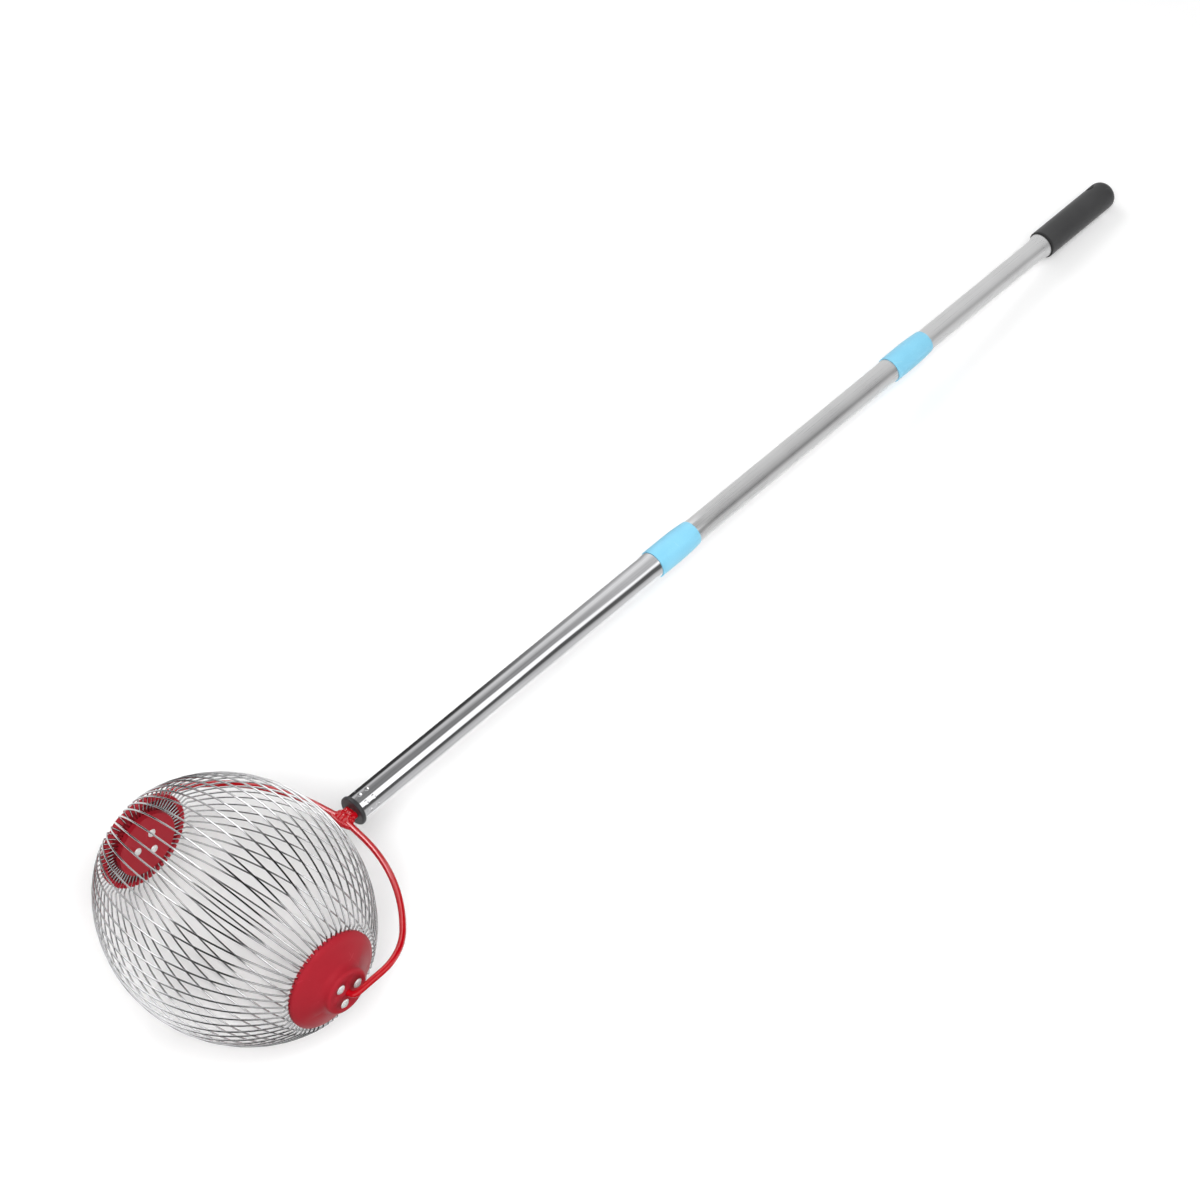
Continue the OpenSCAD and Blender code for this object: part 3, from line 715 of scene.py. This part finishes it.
def build_cage():
    """Ring of wires, two caps with their clamp plates, and the rivets."""
    pitch = 2 * math.pi / WIRE_COUNT
    line = [(x * MM, y * MM, 0.0) for x, y in wire_line()]
    wires = new_piece("wire_cage", line, [], [(index, index + 1) for index in range(len(line) - 1)])
    grow(wires, make_wire_ring(), {
        "Copies": WIRE_COUNT, "First turn": math.pi / 2 + pitch / 2, "Middle": CAGE, "Sway": WIRE_SWAY,
        "Seed": WIRE_SEED, "Foot": (WIRE_TIP_R * MM, 0.0, 0.0), "Material": WIRE_STEEL,
        "Wire radius": WIRE_R * MM, "Sides": WIRE_SIDES,
    })
    settle(wires, "cage", "cage_wire", WIRE_STEEL, "cage_wires_a", "cage_wires_b")
    for side in ("left", "right"):
        for name, node in (("dished_cap", "end_cap"), ("clamp_plate", "wire_retainer")):
            moulding = solid_copy(f"{side}_{name}", f"{side}_{node}")
            smooth(moulding, angle=28.0)
            settle(moulding, "cage", "cap_red", CAP_RED, f"{side}_{node}")
    rivet_tree = make_rivet_ring()
    for side, sign, turn in (("left", 1, LEFT_RIVET_TURN), ("right", -1, RIGHT_RIVET_TURN)):
        rivets = one_rivet(f"{side}_domed_rivets", sign)
        grow(rivets, rivet_tree, {
            "Copies": RIVET_COUNT, "First turn": -math.radians(turn), "Middle": CAGE, "Sway": 0.0,
            "Material": RIVET_BRIGHT,
        })
        smooth(rivets)
        settle(rivets, "cage", "rivet_metal", RIVET_BRIGHT, f"{side}_cap_rivets")


def one_rivet(name, sign):
    """Rivet on its ring radius: domed head outside, shank, and a domed end inside the cage."""
    head = BOSS_Y - RIVET_SINK
    profile = [(radius, head + rise) for radius, rise in RIVET_HEAD]
    profile += [(RIVET_SHANK_R, head), (RIVET_SHANK_R, PLATE_Y)]
    profile += [(radius, PLATE_Y - rise) for radius, rise in RIVET_TAIL]

    def point(station, radius, angle):
        outward = RIVET_RING_R + radius * math.cos(angle)
        return Vector((outward, sign * station, radius * math.sin(angle))) * MM

    piece = new_piece(name, *lathe_mesh(profile, point, RIVET_SIDES, closed=False))
    tidy_mesh(piece)
    return piece


# Yoke

def build_yoke():
    """Two bent rods and the weld at their neck."""
    path = bent_path(YOKE_PATH, YOKE_BENDS, bend_steps=14, straight_step=6.0)
    for side, sign in (("left", 1), ("right", -1)):
        points = [CAGE + (LEFT * sign * point.x + POLE * point.y) * MM for point in path]
        arm = sweep(f"{side}_bent_rod", points, UPPER_SIDE, ROD_R * MM, ROD_SIDES)
        smooth(arm, angle=40.0)
        settle(arm, "handle", "yoke_red", YOKE_RED, f"{side}_yoke_arm")
    build_weld()


def lump(middle, sizes, rings=8, sides=14):
    """Points and faces of an egg-shaped lump: sizes across the rods, along the pole and upwards."""
    turns = [math.pi * ring / rings for ring in range(rings + 1)]
    profile = [(math.sin(turn), -math.cos(turn)) for turn in turns]

    def point(station, radius, angle):
        across = LEFT * sizes[0] * radius * math.cos(angle)
        along = POLE * sizes[1] * radius * math.sin(angle)
        return CAGE + (middle + across + along + UPPER_SIDE * sizes[2] * station) * MM

    return lathe_mesh(profile, point, sides, closed=False)


def build_weld():
    """Bar across the crotch of the yoke and lumpy beads over the two rods, run together into one skin.

    A lump has a place and sizes, each across the rods, along the pole and upwards.
    """
    lumps = []
    # Bar whose ends bow a little towards the pole
    for across in range(-11, 12, 2):
        lumps.append(((across, 122.6 + 0.018 * across ** 2, 0.0), (2.6, 2.9, 2.9)))
    # Neck over both rods and between them
    for across in (-3.8, 0.0, 3.8):
        lumps.append(((across, 134.0, 0.0), (3.8, 15.0, 3.5)))
    # Flares from the bar to the neck, and the filling between them
    for side in (-1, 1):
        lumps.append(((8.6 * side, 126.6, 0.0), (3.4, 3.2, 2.8)))
        lumps.append(((7.4 * side, 129.6, 0.0), (2.4, 3.6, 2.8)))
    lumps.append(((0.0, 126.5, 0.0), (5.0, 3.0, 1.4)))
    # Beads on the upper and the under face: place across and along, and size
    beads = [(-4.4, 130.6, 2.0), (0.4, 129.4, 2.1), (4.6, 131.0, 2.0)]
    beads += [(-2.0, 134.4, 2.1), (2.8, 135.0, 2.0)]
    for rise in (2.8, -2.8):
        lumps += [((across, station, rise), (size, size, 1.8)) for across, station, size in beads]
    vertices = []
    faces = []
    for (across, station, rise), sizes in lumps:
        points, sheets = lump(LEFT * across + POLE * station + UPPER_SIDE * rise, sizes)
        faces += [tuple(index + len(vertices) for index in sheet) for sheet in sheets]
        vertices += points
    weld = new_piece("neck_weld", vertices, faces)
    tidy_mesh(weld)
    skin = weld.modifiers.new("one skin", "REMESH")
    skin.mode = "VOXEL"
    skin.voxel_size = WELD_VOXEL * MM
    realised(weld)
    smooth(weld, angle=80.0)
    settle(weld, "handle", "yoke_red", YOKE_RED, "yoke_weld")


# Pole

def belled_profile(radius, start, end, bell_start, bell):
    """Outside and bore of a tube that widens softly before it enters its collar or grip."""
    outside = [(radius, start + TUBE_EDGE)]
    steps = 10
    for step in range(steps + 1):
        part = step / steps
        ease = part * part * (3 - 2 * part)
        outside.append((radius + bell * ease, bell_start - BELL_LEN * (1 - part)))
    outside.append((radius + bell, end - TUBE_EDGE))
    inner_edge = TUBE_EDGE / 2
    rim = [(radius + bell - TUBE_EDGE, end), (radius + bell - TUBE_WALL + inner_edge, end)]
    bore = [(outer - TUBE_WALL, station) for outer, station in reversed(outside)]
    foot = [(radius - TUBE_WALL + inner_edge, start), (radius - TUBE_EDGE, start)]
    return outside + rim + bore + foot


def dimpled_tube():
    """Lower tube with rings of crimp dimples pressed into its foot."""
    bell_start = LOWER_END - COLLAR_SEAT
    profile = belled_profile(LOWER_R, LOWER_START, LOWER_END, bell_start, COLLAR_BELL)
    fine = [(LOWER_R, LOWER_START + FINE_START + FINE_STEP * step) for step in range(FINE_RINGS)]
    profile = profile[:1] + fine + profile[1:]
    tube = pole_lathe("bright_lower_tube", profile, DIMPLE_SIDES * DIMPLE_ROWS)
    pitch = 2 * math.pi / DIMPLE_ROWS
    skin_r = LOWER_R - TUBE_EDGE / 2
    for vertex in tube.data.vertices:
        away = (vertex.co - CAGE) / MM
        station = away.dot(POLE)
        side = away - POLE * station
        if side.length < skin_r or station > LOWER_START + DIMPLE_REACH:
            continue
        angle = math.atan2(side.dot(LEFT), side.dot(UPPER_SIDE))
        across = (angle - pitch * round(angle / pitch)) * LOWER_R
        for place in DIMPLE_PLACES:
            gap = math.hypot(across, station - LOWER_START - place)
            if gap < DIMPLE_R:
                depth = DIMPLE_DEPTH * (1 - (gap / DIMPLE_R) ** 2)
                vertex.co -= side.normalized() * depth * MM
    tube.data.update()
    return tube


def collar_profile(tube_r, next_r, tube_end):
    """Collar: a fine bead at its foot, a straight part and a soft drop to its mouth round the next tube."""
    bottom = tube_end - COLLAR_SEAT
    top = bottom + COLLAR_LEN
    seat_r = tube_r + COLLAR_BELL + SEAT_GAP
    out_r = seat_r + COLLAR_WALL
    mouth_r = next_r + COLLAR_GAP
    curve_start = bottom + COLLAR_STRAIGHT
    curve_end = top - COLLAR_LIP
    profile = [(seat_r, bottom + 0.15), (seat_r + 0.15, bottom)]
    profile += arc((out_r - 0.35, bottom + 0.4), 0.4, -90.0, 0.0, steps=5)
    profile += [(out_r + 0.05, bottom + 1.1), (out_r - 0.06, bottom + 1.5)]
    profile += [(out_r - 0.02, bottom + 1.9), (out_r, bottom + 2.4)]
    steps = 12
    for step in range(steps + 1):
        part = step / steps
        curve_r = out_r - COLLAR_DROP * part ** COLLAR_CURVE
        profile.append((curve_r, curve_start + (curve_end - curve_start) * part))
    edge_r = out_r - COLLAR_DROP
    profile += [(edge_r - 0.12, top - 1.2), (edge_r - 0.35, top - 0.5)]
    profile += [(mouth_r + 0.4, top - 0.08), (mouth_r + 0.2, top), (mouth_r, top - 0.2)]
    profile += [(mouth_r, tube_end), (seat_r, tube_end)]
    return profile


def build_bush():
    """Bush with a rounded lip below the lower tube and a plug inside it."""
    round_r = LOWER_R + LIP_OVER - LIP_ROUND
    plug_r = LOWER_R - TUBE_WALL - SEAT_GAP
    profile = [(0.0, LIP_START), (round_r - LIP_HOLD, LIP_START)]
    profile += arc((round_r, LIP_START + LIP_ROUND), LIP_ROUND, -90.0, 0.0, steps=8)
    profile += arc((round_r, LOWER_START - LIP_ROUND), LIP_ROUND, 0.0, 90.0, steps=8)
    profile += [(plug_r, LOWER_START), (plug_r, LOWER_START + BUSH_LEN), (0.0, LOWER_START + BUSH_LEN)]
    bush = pole_lathe("black_end_bush", profile, BUSH_SIDES, closed=False)
    smooth(bush)
    settle(bush, "handle", "bush_black", BUSH_BLACK, "pole_end_bush")


def build_pole():
    """Bush, three tubes, two collars and the grip."""
    build_bush()
    tube = dimpled_tube()
    smooth(tube, angle=40.0)
    settle(tube, "handle", "tube_bright", TUBE_BRIGHT, "lower_tube")
    sections = (
        ("middle", (MIDDLE_R, MIDDLE_START, MIDDLE_END, MIDDLE_END - COLLAR_SEAT, COLLAR_BELL)),
        ("upper", (UPPER_R, UPPER_START, UPPER_END, GRIP_START, GRIP_BELL)),
    )
    for place, sizes in sections:
        tube = pole_lathe(f"satin_{place}_tube", belled_profile(*sizes), POLE_SIDES)
        smooth(tube, angle=40.0)
        settle(tube, f"{place}_section", "tube_satin", TUBE_SATIN, f"{place}_tube")
    collars = (
        ("lower", "handle", (LOWER_R, MIDDLE_R, LOWER_END)),
        ("upper", "middle_section", (MIDDLE_R, UPPER_R, MIDDLE_END)),
    )
    for place, body, sizes in collars:
        collar = pole_lathe(f"{place}_blue_collar", collar_profile(*sizes), POLE_SIDES)
        smooth(collar, angle=40.0)
        settle(collar, body, "collar_blue", COLLAR_BLUE, f"{place}_collar")
    build_grip()


def build_grip():
    """Grip with a rounded mouth darkened by painted shade, a domed end and a flared hang hole through it.
    """
    bore_r = UPPER_R + GRIP_BELL + SEAT_GAP
    profile = [(bore_r, GRIP_START + 0.3), (bore_r + 0.25, GRIP_START)]
    mouth_middle = (GRIP_R - GRIP_MOUTH_ROUND, GRIP_START + GRIP_MOUTH_ROUND)
    profile += arc(mouth_middle, GRIP_MOUTH_ROUND, -90.0, 0.0, steps=6)
    profile += [(GRIP_R, GRIP_START + edge) for edge in GRIP_MOUTH_SHADE]
    length = GRIP_END - GRIP_ROUND - GRIP_START
    rings = 24
    profile += [(GRIP_R, GRIP_START + length * ring / rings) for ring in range(1, rings)]
    profile += arc((GRIP_R - GRIP_ROUND, GRIP_END - GRIP_ROUND), GRIP_ROUND, 0.0, 90.0, steps=16)
    profile += [(0.0, GRIP_END), (0.0, UPPER_END), (bore_r, UPPER_END)]
    grip = pole_lathe("rubber_grip", profile, POLE_SIDES)

    cutter_profile = [(0.0, -HANG_FLARE[0][1])]
    cutter_profile += [(HANG_R + more, -away) for more, away in HANG_FLARE]
    cutter_profile += [(radius, -away) for radius, away in reversed(cutter_profile)]
    turn = math.radians(HANG_TURN)
    out = (UPPER_SIDE * math.cos(turn) + LEFT * math.sin(turn)).normalized()
    side = out.cross(POLE)
    middle = CAGE + POLE * (GRIP_END - HANG_BACK) * MM

    def point(station, radius, angle):
        return middle + (out * station + (POLE * math.cos(angle) + side * math.sin(angle)) * radius) * MM

    cutter = new_piece("hang_hole_cutter", *lathe_mesh(cutter_profile, point, HANG_SIDES, closed=False))
    tidy_mesh(cutter)
    hole = grip.modifiers.new("hang hole", "BOOLEAN")
    hole.operation = "DIFFERENCE"
    hole.solver = "EXACT"
    hole.object = cutter
    realised(grip)
    bpy.data.objects.remove(cutter)
    smooth(grip, angle=40.0)
    # Painted shade: how strongly each point is darkened, fading out behind the mouth
    mouth = grip.data.attributes.new("mouth", "FLOAT", "POINT")
    fade_start, fade_end = GRIP_MOUTH_SHADE
    for place, vertex in zip(mouth.data, grip.data.vertices):
        station = (vertex.co - CAGE).dot(POLE) / MM - GRIP_START
        place.value = min(max((fade_end - station) / (fade_end - fade_start), 0.0), 1.0)
    settle(grip, "upper_section", "grip_rubber", GRIP_GREY, "hand_grip")


def finish_inner_nodes():
    """Pieces inside the pole and caps keep their solids and get their own finish."""
    finishes = [("left_push_nut", NUT_STEEL), ("right_push_nut", NUT_STEEL)]
    for place in ("lower", "upper"):
        finishes += [(f"{place}_lock_{kind}", NYLON) for kind in ("plug", "sleeve", "cone")]
    for node, material in finishes:
        mesh = frame["nodes"][node].data
        mesh.materials.clear()
        mesh.materials.append(material)


# Studio

# The radius of the cards round the pole is in millimetres, other lengths of the studio are in metres
SURROUND_R = 62.0
FLAG_RISE = 0.004
# Card for the yoke: place from the middle of the cage, directions of its sides, half a side, and glow
YOKE_CARD_PLACE = Vector((-0.145, 0.74, 1.01))
YOKE_CARD_ACROSS = Vector((0.9, 0.42, 0.0))
YOKE_CARD_UPWARD = Vector((0.31, -0.67, 0.67))
YOKE_CARD_HALF = 0.3
YOKE_CARD_GLOW = 14.0
FLOOR_REACH = 6.0
FLOOR_TONE = (0.86, 0.86, 0.86, 1.0)
# Shine of the floor: it fades in round a place beside the cage, and grows to white far from there
FLOOR_LIFT = 0.24
FLOOR_SHADE_PLACE = Vector((0.07, 0.07, 0.0))
FLOOR_SHADE_R = 0.1
FLOOR_SHADE_FADE = 1.7
FLOOR_FAR = (1.4, 4.0)
FLOOR_FAR_LIFT = 0.5
# Colour of the world and of the floor's shine, and the strength of the world as a light
WHITE = (1.0, 1.0, 1.0, 1.0)
AMBIENT = 0.4
# Camera: its place in cage radii, and two of its axes
CAMERA_PLACE = (13.509, -9.188, 19.531)
CAMERA_ACROSS = (0.736943, 0.674018, -0.051122)
CAMERA_BACK = (0.497515, -0.489645, 0.716049)


def build_floor():
    """White floor that takes the shadow, with a shine that only camera and mirrors see."""
    reach = FLOOR_REACH
    corners = [(-reach, -reach, 0), (reach, -reach, 0), (reach, reach, 0), (-reach, reach, 0)]
    floor = new_piece("studio_floor", corners, [(0, 1, 2, 3)])
    material, tree, shader = surface(
        "studio floor", Base_Color=FLOOR_TONE, Roughness=0.9, Specular_IOR_Level=0.0, Emission_Color=WHITE,
    )
    middle = CAGE + FLOOR_SHADE_PLACE
    away = tree.nodes.new("ShaderNodeVectorMath")
    away.operation = "LENGTH"
    tree.links.new(coordinates(tree, place=(middle.x, middle.y, 0.0)), away.inputs[0])
    shade_edge = (FLOOR_SHADE_R, FLOOR_SHADE_FADE * FLOOR_SHADE_R)
    near = ranged(tree, away.outputs["Value"], shade_edge, (0.0, FLOOR_LIFT), "SMOOTHSTEP")
    far = ranged(tree, away.outputs["Value"], FLOOR_FAR, (0.0, FLOOR_FAR_LIFT), "SMOOTHSTEP")
    glow = math_node(tree, "ADD", near, far)
    rays = tree.nodes.new("ShaderNodeLightPath")
    seen = math_node(tree, "MAXIMUM", rays.outputs["Is Camera Ray"], rays.outputs["Is Glossy Ray"])
    tree.links.new(math_node(tree, "MULTIPLY", seen, glow), shader.inputs["Emission Strength"])
    floor.data.materials.append(material)


def make_card_glow(name, see_through=False):
    """Glow as a card's points give it, on a card that hides what is behind it or lets it through."""
    material = bpy.data.materials.new(name)
    material.use_nodes = True
    tree = material.node_tree
    level = tree.nodes.new("ShaderNodeAttribute")
    level.attribute_name = "glow"
    shader = tree.nodes.new("ShaderNodeEmission")
    tree.links.new(level.outputs["Fac"], shader.inputs["Strength"])
    if see_through:
        clear = tree.nodes.new("ShaderNodeBsdfTransparent")
        both = tree.nodes.new("ShaderNodeAddShader")
        tree.links.new(shader.outputs[0], both.inputs[0])
        tree.links.new(clear.outputs[0], both.inputs[1])
        shader = both
    tree.links.new(shader.outputs[0], tree.nodes["Material Output"].inputs["Surface"])
    return material


CARD_GLOW = make_card_glow("card glow")
CLEAR_CARD_GLOW = make_card_glow("clear card glow", see_through=True)


def add_card(name, vertices, faces, glows, finish=CARD_GLOW):
    """Card that only mirrors see, with the glow given point by point."""
    card = new_piece(name, vertices, faces)
    card.visible_camera = False
    card.visible_diffuse = False
    card.visible_shadow = False
    glow = card.data.attributes.new("glow", "FLOAT", "POINT")
    for place, value in zip(glow.data, glows):
        place.value = value
    card.data.materials.append(finish)
    return card


def grid_faces(rows, columns):
    """Faces of a sheet whose points are listed row by row."""
    faces = []
    for row in range(rows - 1):
        for column in range(columns - 1):
            low = row * columns + column
            faces.append((low, low + 1, low + columns + 1, low + columns))
    return faces


def add_surround(name, rows):
    """Graded card round a length of pole: each row has a station, and angles in degrees with their glow."""
    vertices = []
    glows = []
    for station, marks in rows:
        vertices += [pole_point(station, SURROUND_R, math.radians(angle)) for angle, _ in marks]
        glows += [glow for _, glow in marks]
    add_card(name, vertices, grid_faces(len(rows), len(rows[0][1])), glows)


def add_vault(name, sides, reach, radius, glow):
    """Card bent over the cage between two angles, and between two places along the cage axis."""
    steps = 16
    vertices = []
    for ahead, height in arc((CAGE.x, 0.0), radius, *reach, steps):
        vertices += [(ahead, side, height) for side in sides]
    add_card(name, vertices, grid_faces(steps + 1, 2), [glow] * len(vertices))


def add_ring_flag(name, edges, reach, glow):
    """Part of a ring round the foot of the cage, between two edges given by radius and height."""
    steps = 24
    vertices = []
    rings = [arc((CAGE.x, 0.0), radius, *reach, steps) for radius, _ in edges]
    for row in zip(*rings):
        vertices += [(ahead, side, height) for (ahead, side), (_, height) in zip(row, edges)]
    add_card(name, vertices, grid_faces(steps + 1, 2), [glow] * len(vertices))


def build_cards():
    """Flags and white cards of the studio, which draw the stripes on bright metal."""
    # Round the bright tube, from its foot to its top
    foot = [
        (133, 0.05), (64, 0.05), (52, 0.75), (42, 0.72), (28, 0.32), (-20, 0.28),
        (-26, 1.7), (-57, 1.7), (-61, 0.12), (-78, 0.12), (-90, 0.7), (-146, 0.8),
    ]
    shin = [
        (133, 0.07), (64, 0.07), (44, 0.82), (32, 0.8), (2, 0.33), (-20, 0.3),
        (-27, 1.6), (-57, 1.5), (-62, 0.12), (-78, 0.12), (-92, 0.7), (-146, 0.82),
    ]
    middle = [
        (133, 0.4), (66, 0.34), (43, 0.93), (28, 0.92), (0, 0.42), (-24, 0.46),
        (-31, 1.5), (-50, 1.5), (-58, 0.12), (-78, 0.12), (-94, 0.68), (-146, 0.85),
    ]
    top = [
        (133, 0.5), (80, 0.52), (48, 1.0), (28, 1.05), (6, 0.72), (-34, 0.62),
        (-45, 1.5), (-53, 1.5), (-66, 0.14), (-90, 0.15), (-106, 0.75), (-146, 0.9),
    ]
    add_surround("bright tube surround", [
        (160.0, foot), (200.0, foot), (323.0, shin), (413.0, middle), (516.0, top), (607.0, top),
    ])
    # Round the satin tubes, whose dark stripe is weaker near the grip
    satin = [
        (133, 0.8), (60, 0.92), (20, 0.84), (-30, 0.66), (-50, 0.52),
        (-60, 0.3), (-72, 0.3), (-86, 0.75), (-104, 0.92), (-140, 0.92),
    ]
    near_grip = [
        (133, 0.84), (60, 0.94), (20, 0.92), (-30, 0.86), (-50, 0.74),
        (-60, 0.54), (-72, 0.54), (-86, 0.82), (-104, 0.92), (-140, 0.92),
    ]
    add_surround("satin tube surround", [
        (609.0, satin), (800.0, satin), (960.0, near_grip), (1240.0, near_grip),
    ])
    # Over the cage and round its foot
    add_vault("dark vault", sides=(-2.0, 0.8), reach=(0.0, 180.0), radius=3.0, glow=0.015)
    add_vault("left white vault", sides=(0.9, 2.6), reach=(25.0, 155.0), radius=3.1, glow=2.6)
    add_vault("right white vault", sides=(-4.0, -2.1), reach=(35.0, 145.0), radius=3.1, glow=2.0)
    front = ((0.14, FLAG_RISE), (1.5, FLAG_RISE))
    add_ring_flag("front floor flag", edges=front, reach=(135.0, 300.0), glow=0.03)
    left = ((1.3, FLAG_RISE), (2.2, FLAG_RISE))
    add_ring_flag("left floor flag", edges=left, reach=(55.0, 135.0), glow=0.05)
    add_ring_flag("left low flag", edges=((2.2, 0.0), (2.2, 0.8)), reach=(55.0, 145.0), glow=0.05)


def add_yoke_card():
    """Clear card over the left of the cage that only the yoke's paint mirrors, as a line along its rods."""
    yoke_pieces = bpy.data.collections.new("yoke pieces")
    for piece in list(bpy.data.objects):
        if YOKE_RED.name in piece.material_slots:
            yoke_pieces.objects.link(piece)
    middle = CAGE + YOKE_CARD_PLACE
    across = YOKE_CARD_ACROSS * YOKE_CARD_HALF
    upward = YOKE_CARD_UPWARD * YOKE_CARD_HALF
    right, left = middle - across, middle + across
    corners = [right - upward, left - upward, left + upward, right + upward]
    card = add_card("yoke card", corners, [(0, 1, 2, 3)], [YOKE_CARD_GLOW] * 4, CLEAR_CARD_GLOW)
    card.light_linking.receiver_collection = yoke_pieces


def add_lamp(name, place, target, size, power):
    """Area lamp that mirrors don't see."""
    data = bpy.data.lights.new(name, "AREA")
    data.shape = "RECTANGLE"
    data.size, data.size_y = size
    data.energy = power
    lamp = bpy.data.objects.new(name, data)
    lamp.location = place
    lamp.rotation_euler = (Vector(target) - Vector(place)).to_track_quat("-Z", "Y").to_euler()
    lamp.visible_glossy = False
    bpy.context.scene.collection.objects.link(lamp)


def build_world():
    """White for camera and mirrors, and a weaker plain light on the object."""
    world = bpy.data.worlds.new("studio")
    bpy.context.scene.world = world
    world.use_nodes = True
    tree = world.node_tree
    background = tree.nodes["Background"]
    background.inputs["Color"].default_value = WHITE
    rays = tree.nodes.new("ShaderNodeLightPath")
    seen = math_node(tree, "MAXIMUM", rays.outputs["Is Camera Ray"], rays.outputs["Is Glossy Ray"])
    seen = math_node(tree, "MAXIMUM", seen, rays.outputs["Is Transmission Ray"])
    strength = math_node(tree, "MULTIPLY_ADD", seen, 1.0 - AMBIENT, AMBIENT)
    tree.links.new(strength, background.inputs["Strength"])


def build_camera():
    """Camera where the photo was taken from."""

    def along(right, up_pole, upward):
        """Vector by its parts along the right cap, the pole and the pole's upper side."""
        return -LEFT * right + POLE * up_pole + UPPER_SIDE * upward

    data = bpy.data.cameras.new("photo camera")
    data.lens = 100.0
    data.sensor_width = 36.0
    data.clip_end = 50.0
    camera = bpy.data.objects.new("photo camera", data)
    across = along(*CAMERA_ACROSS).normalized()
    back = along(*CAMERA_BACK).normalized()
    up = back.cross(across).normalized()
    turn = Matrix((up.cross(back), up, back)).transposed().to_4x4()
    camera.matrix_world = Matrix.Translation(CAGE + along(*CAMERA_PLACE) * (CAGE_R * MM)) @ turn
    bpy.context.scene.collection.objects.link(camera)
    bpy.context.scene.camera = camera


bpy.context.scene.view_settings.view_transform = "Standard"
build_camera()
build_cage()
build_yoke()
build_pole()
finish_inner_nodes()
build_floor()
build_world()
build_cards()
add_lamp(
    "key lamp", place=CAGE + Vector((-0.4, -1.2, 2.0)), target=CAGE + Vector((0.4, 0.0, 0.0)),
    size=(1.6, 1.0), power=48.0,
)
add_lamp(
    "side lamp", place=CAGE + Vector((1.2, 1.6, 1.6)), target=CAGE + Vector((0.5, 0.0, 0.0)),
    size=(1.4, 1.0), power=14.0,
)
add_yoke_card()

bpy.context.view_layer.update()
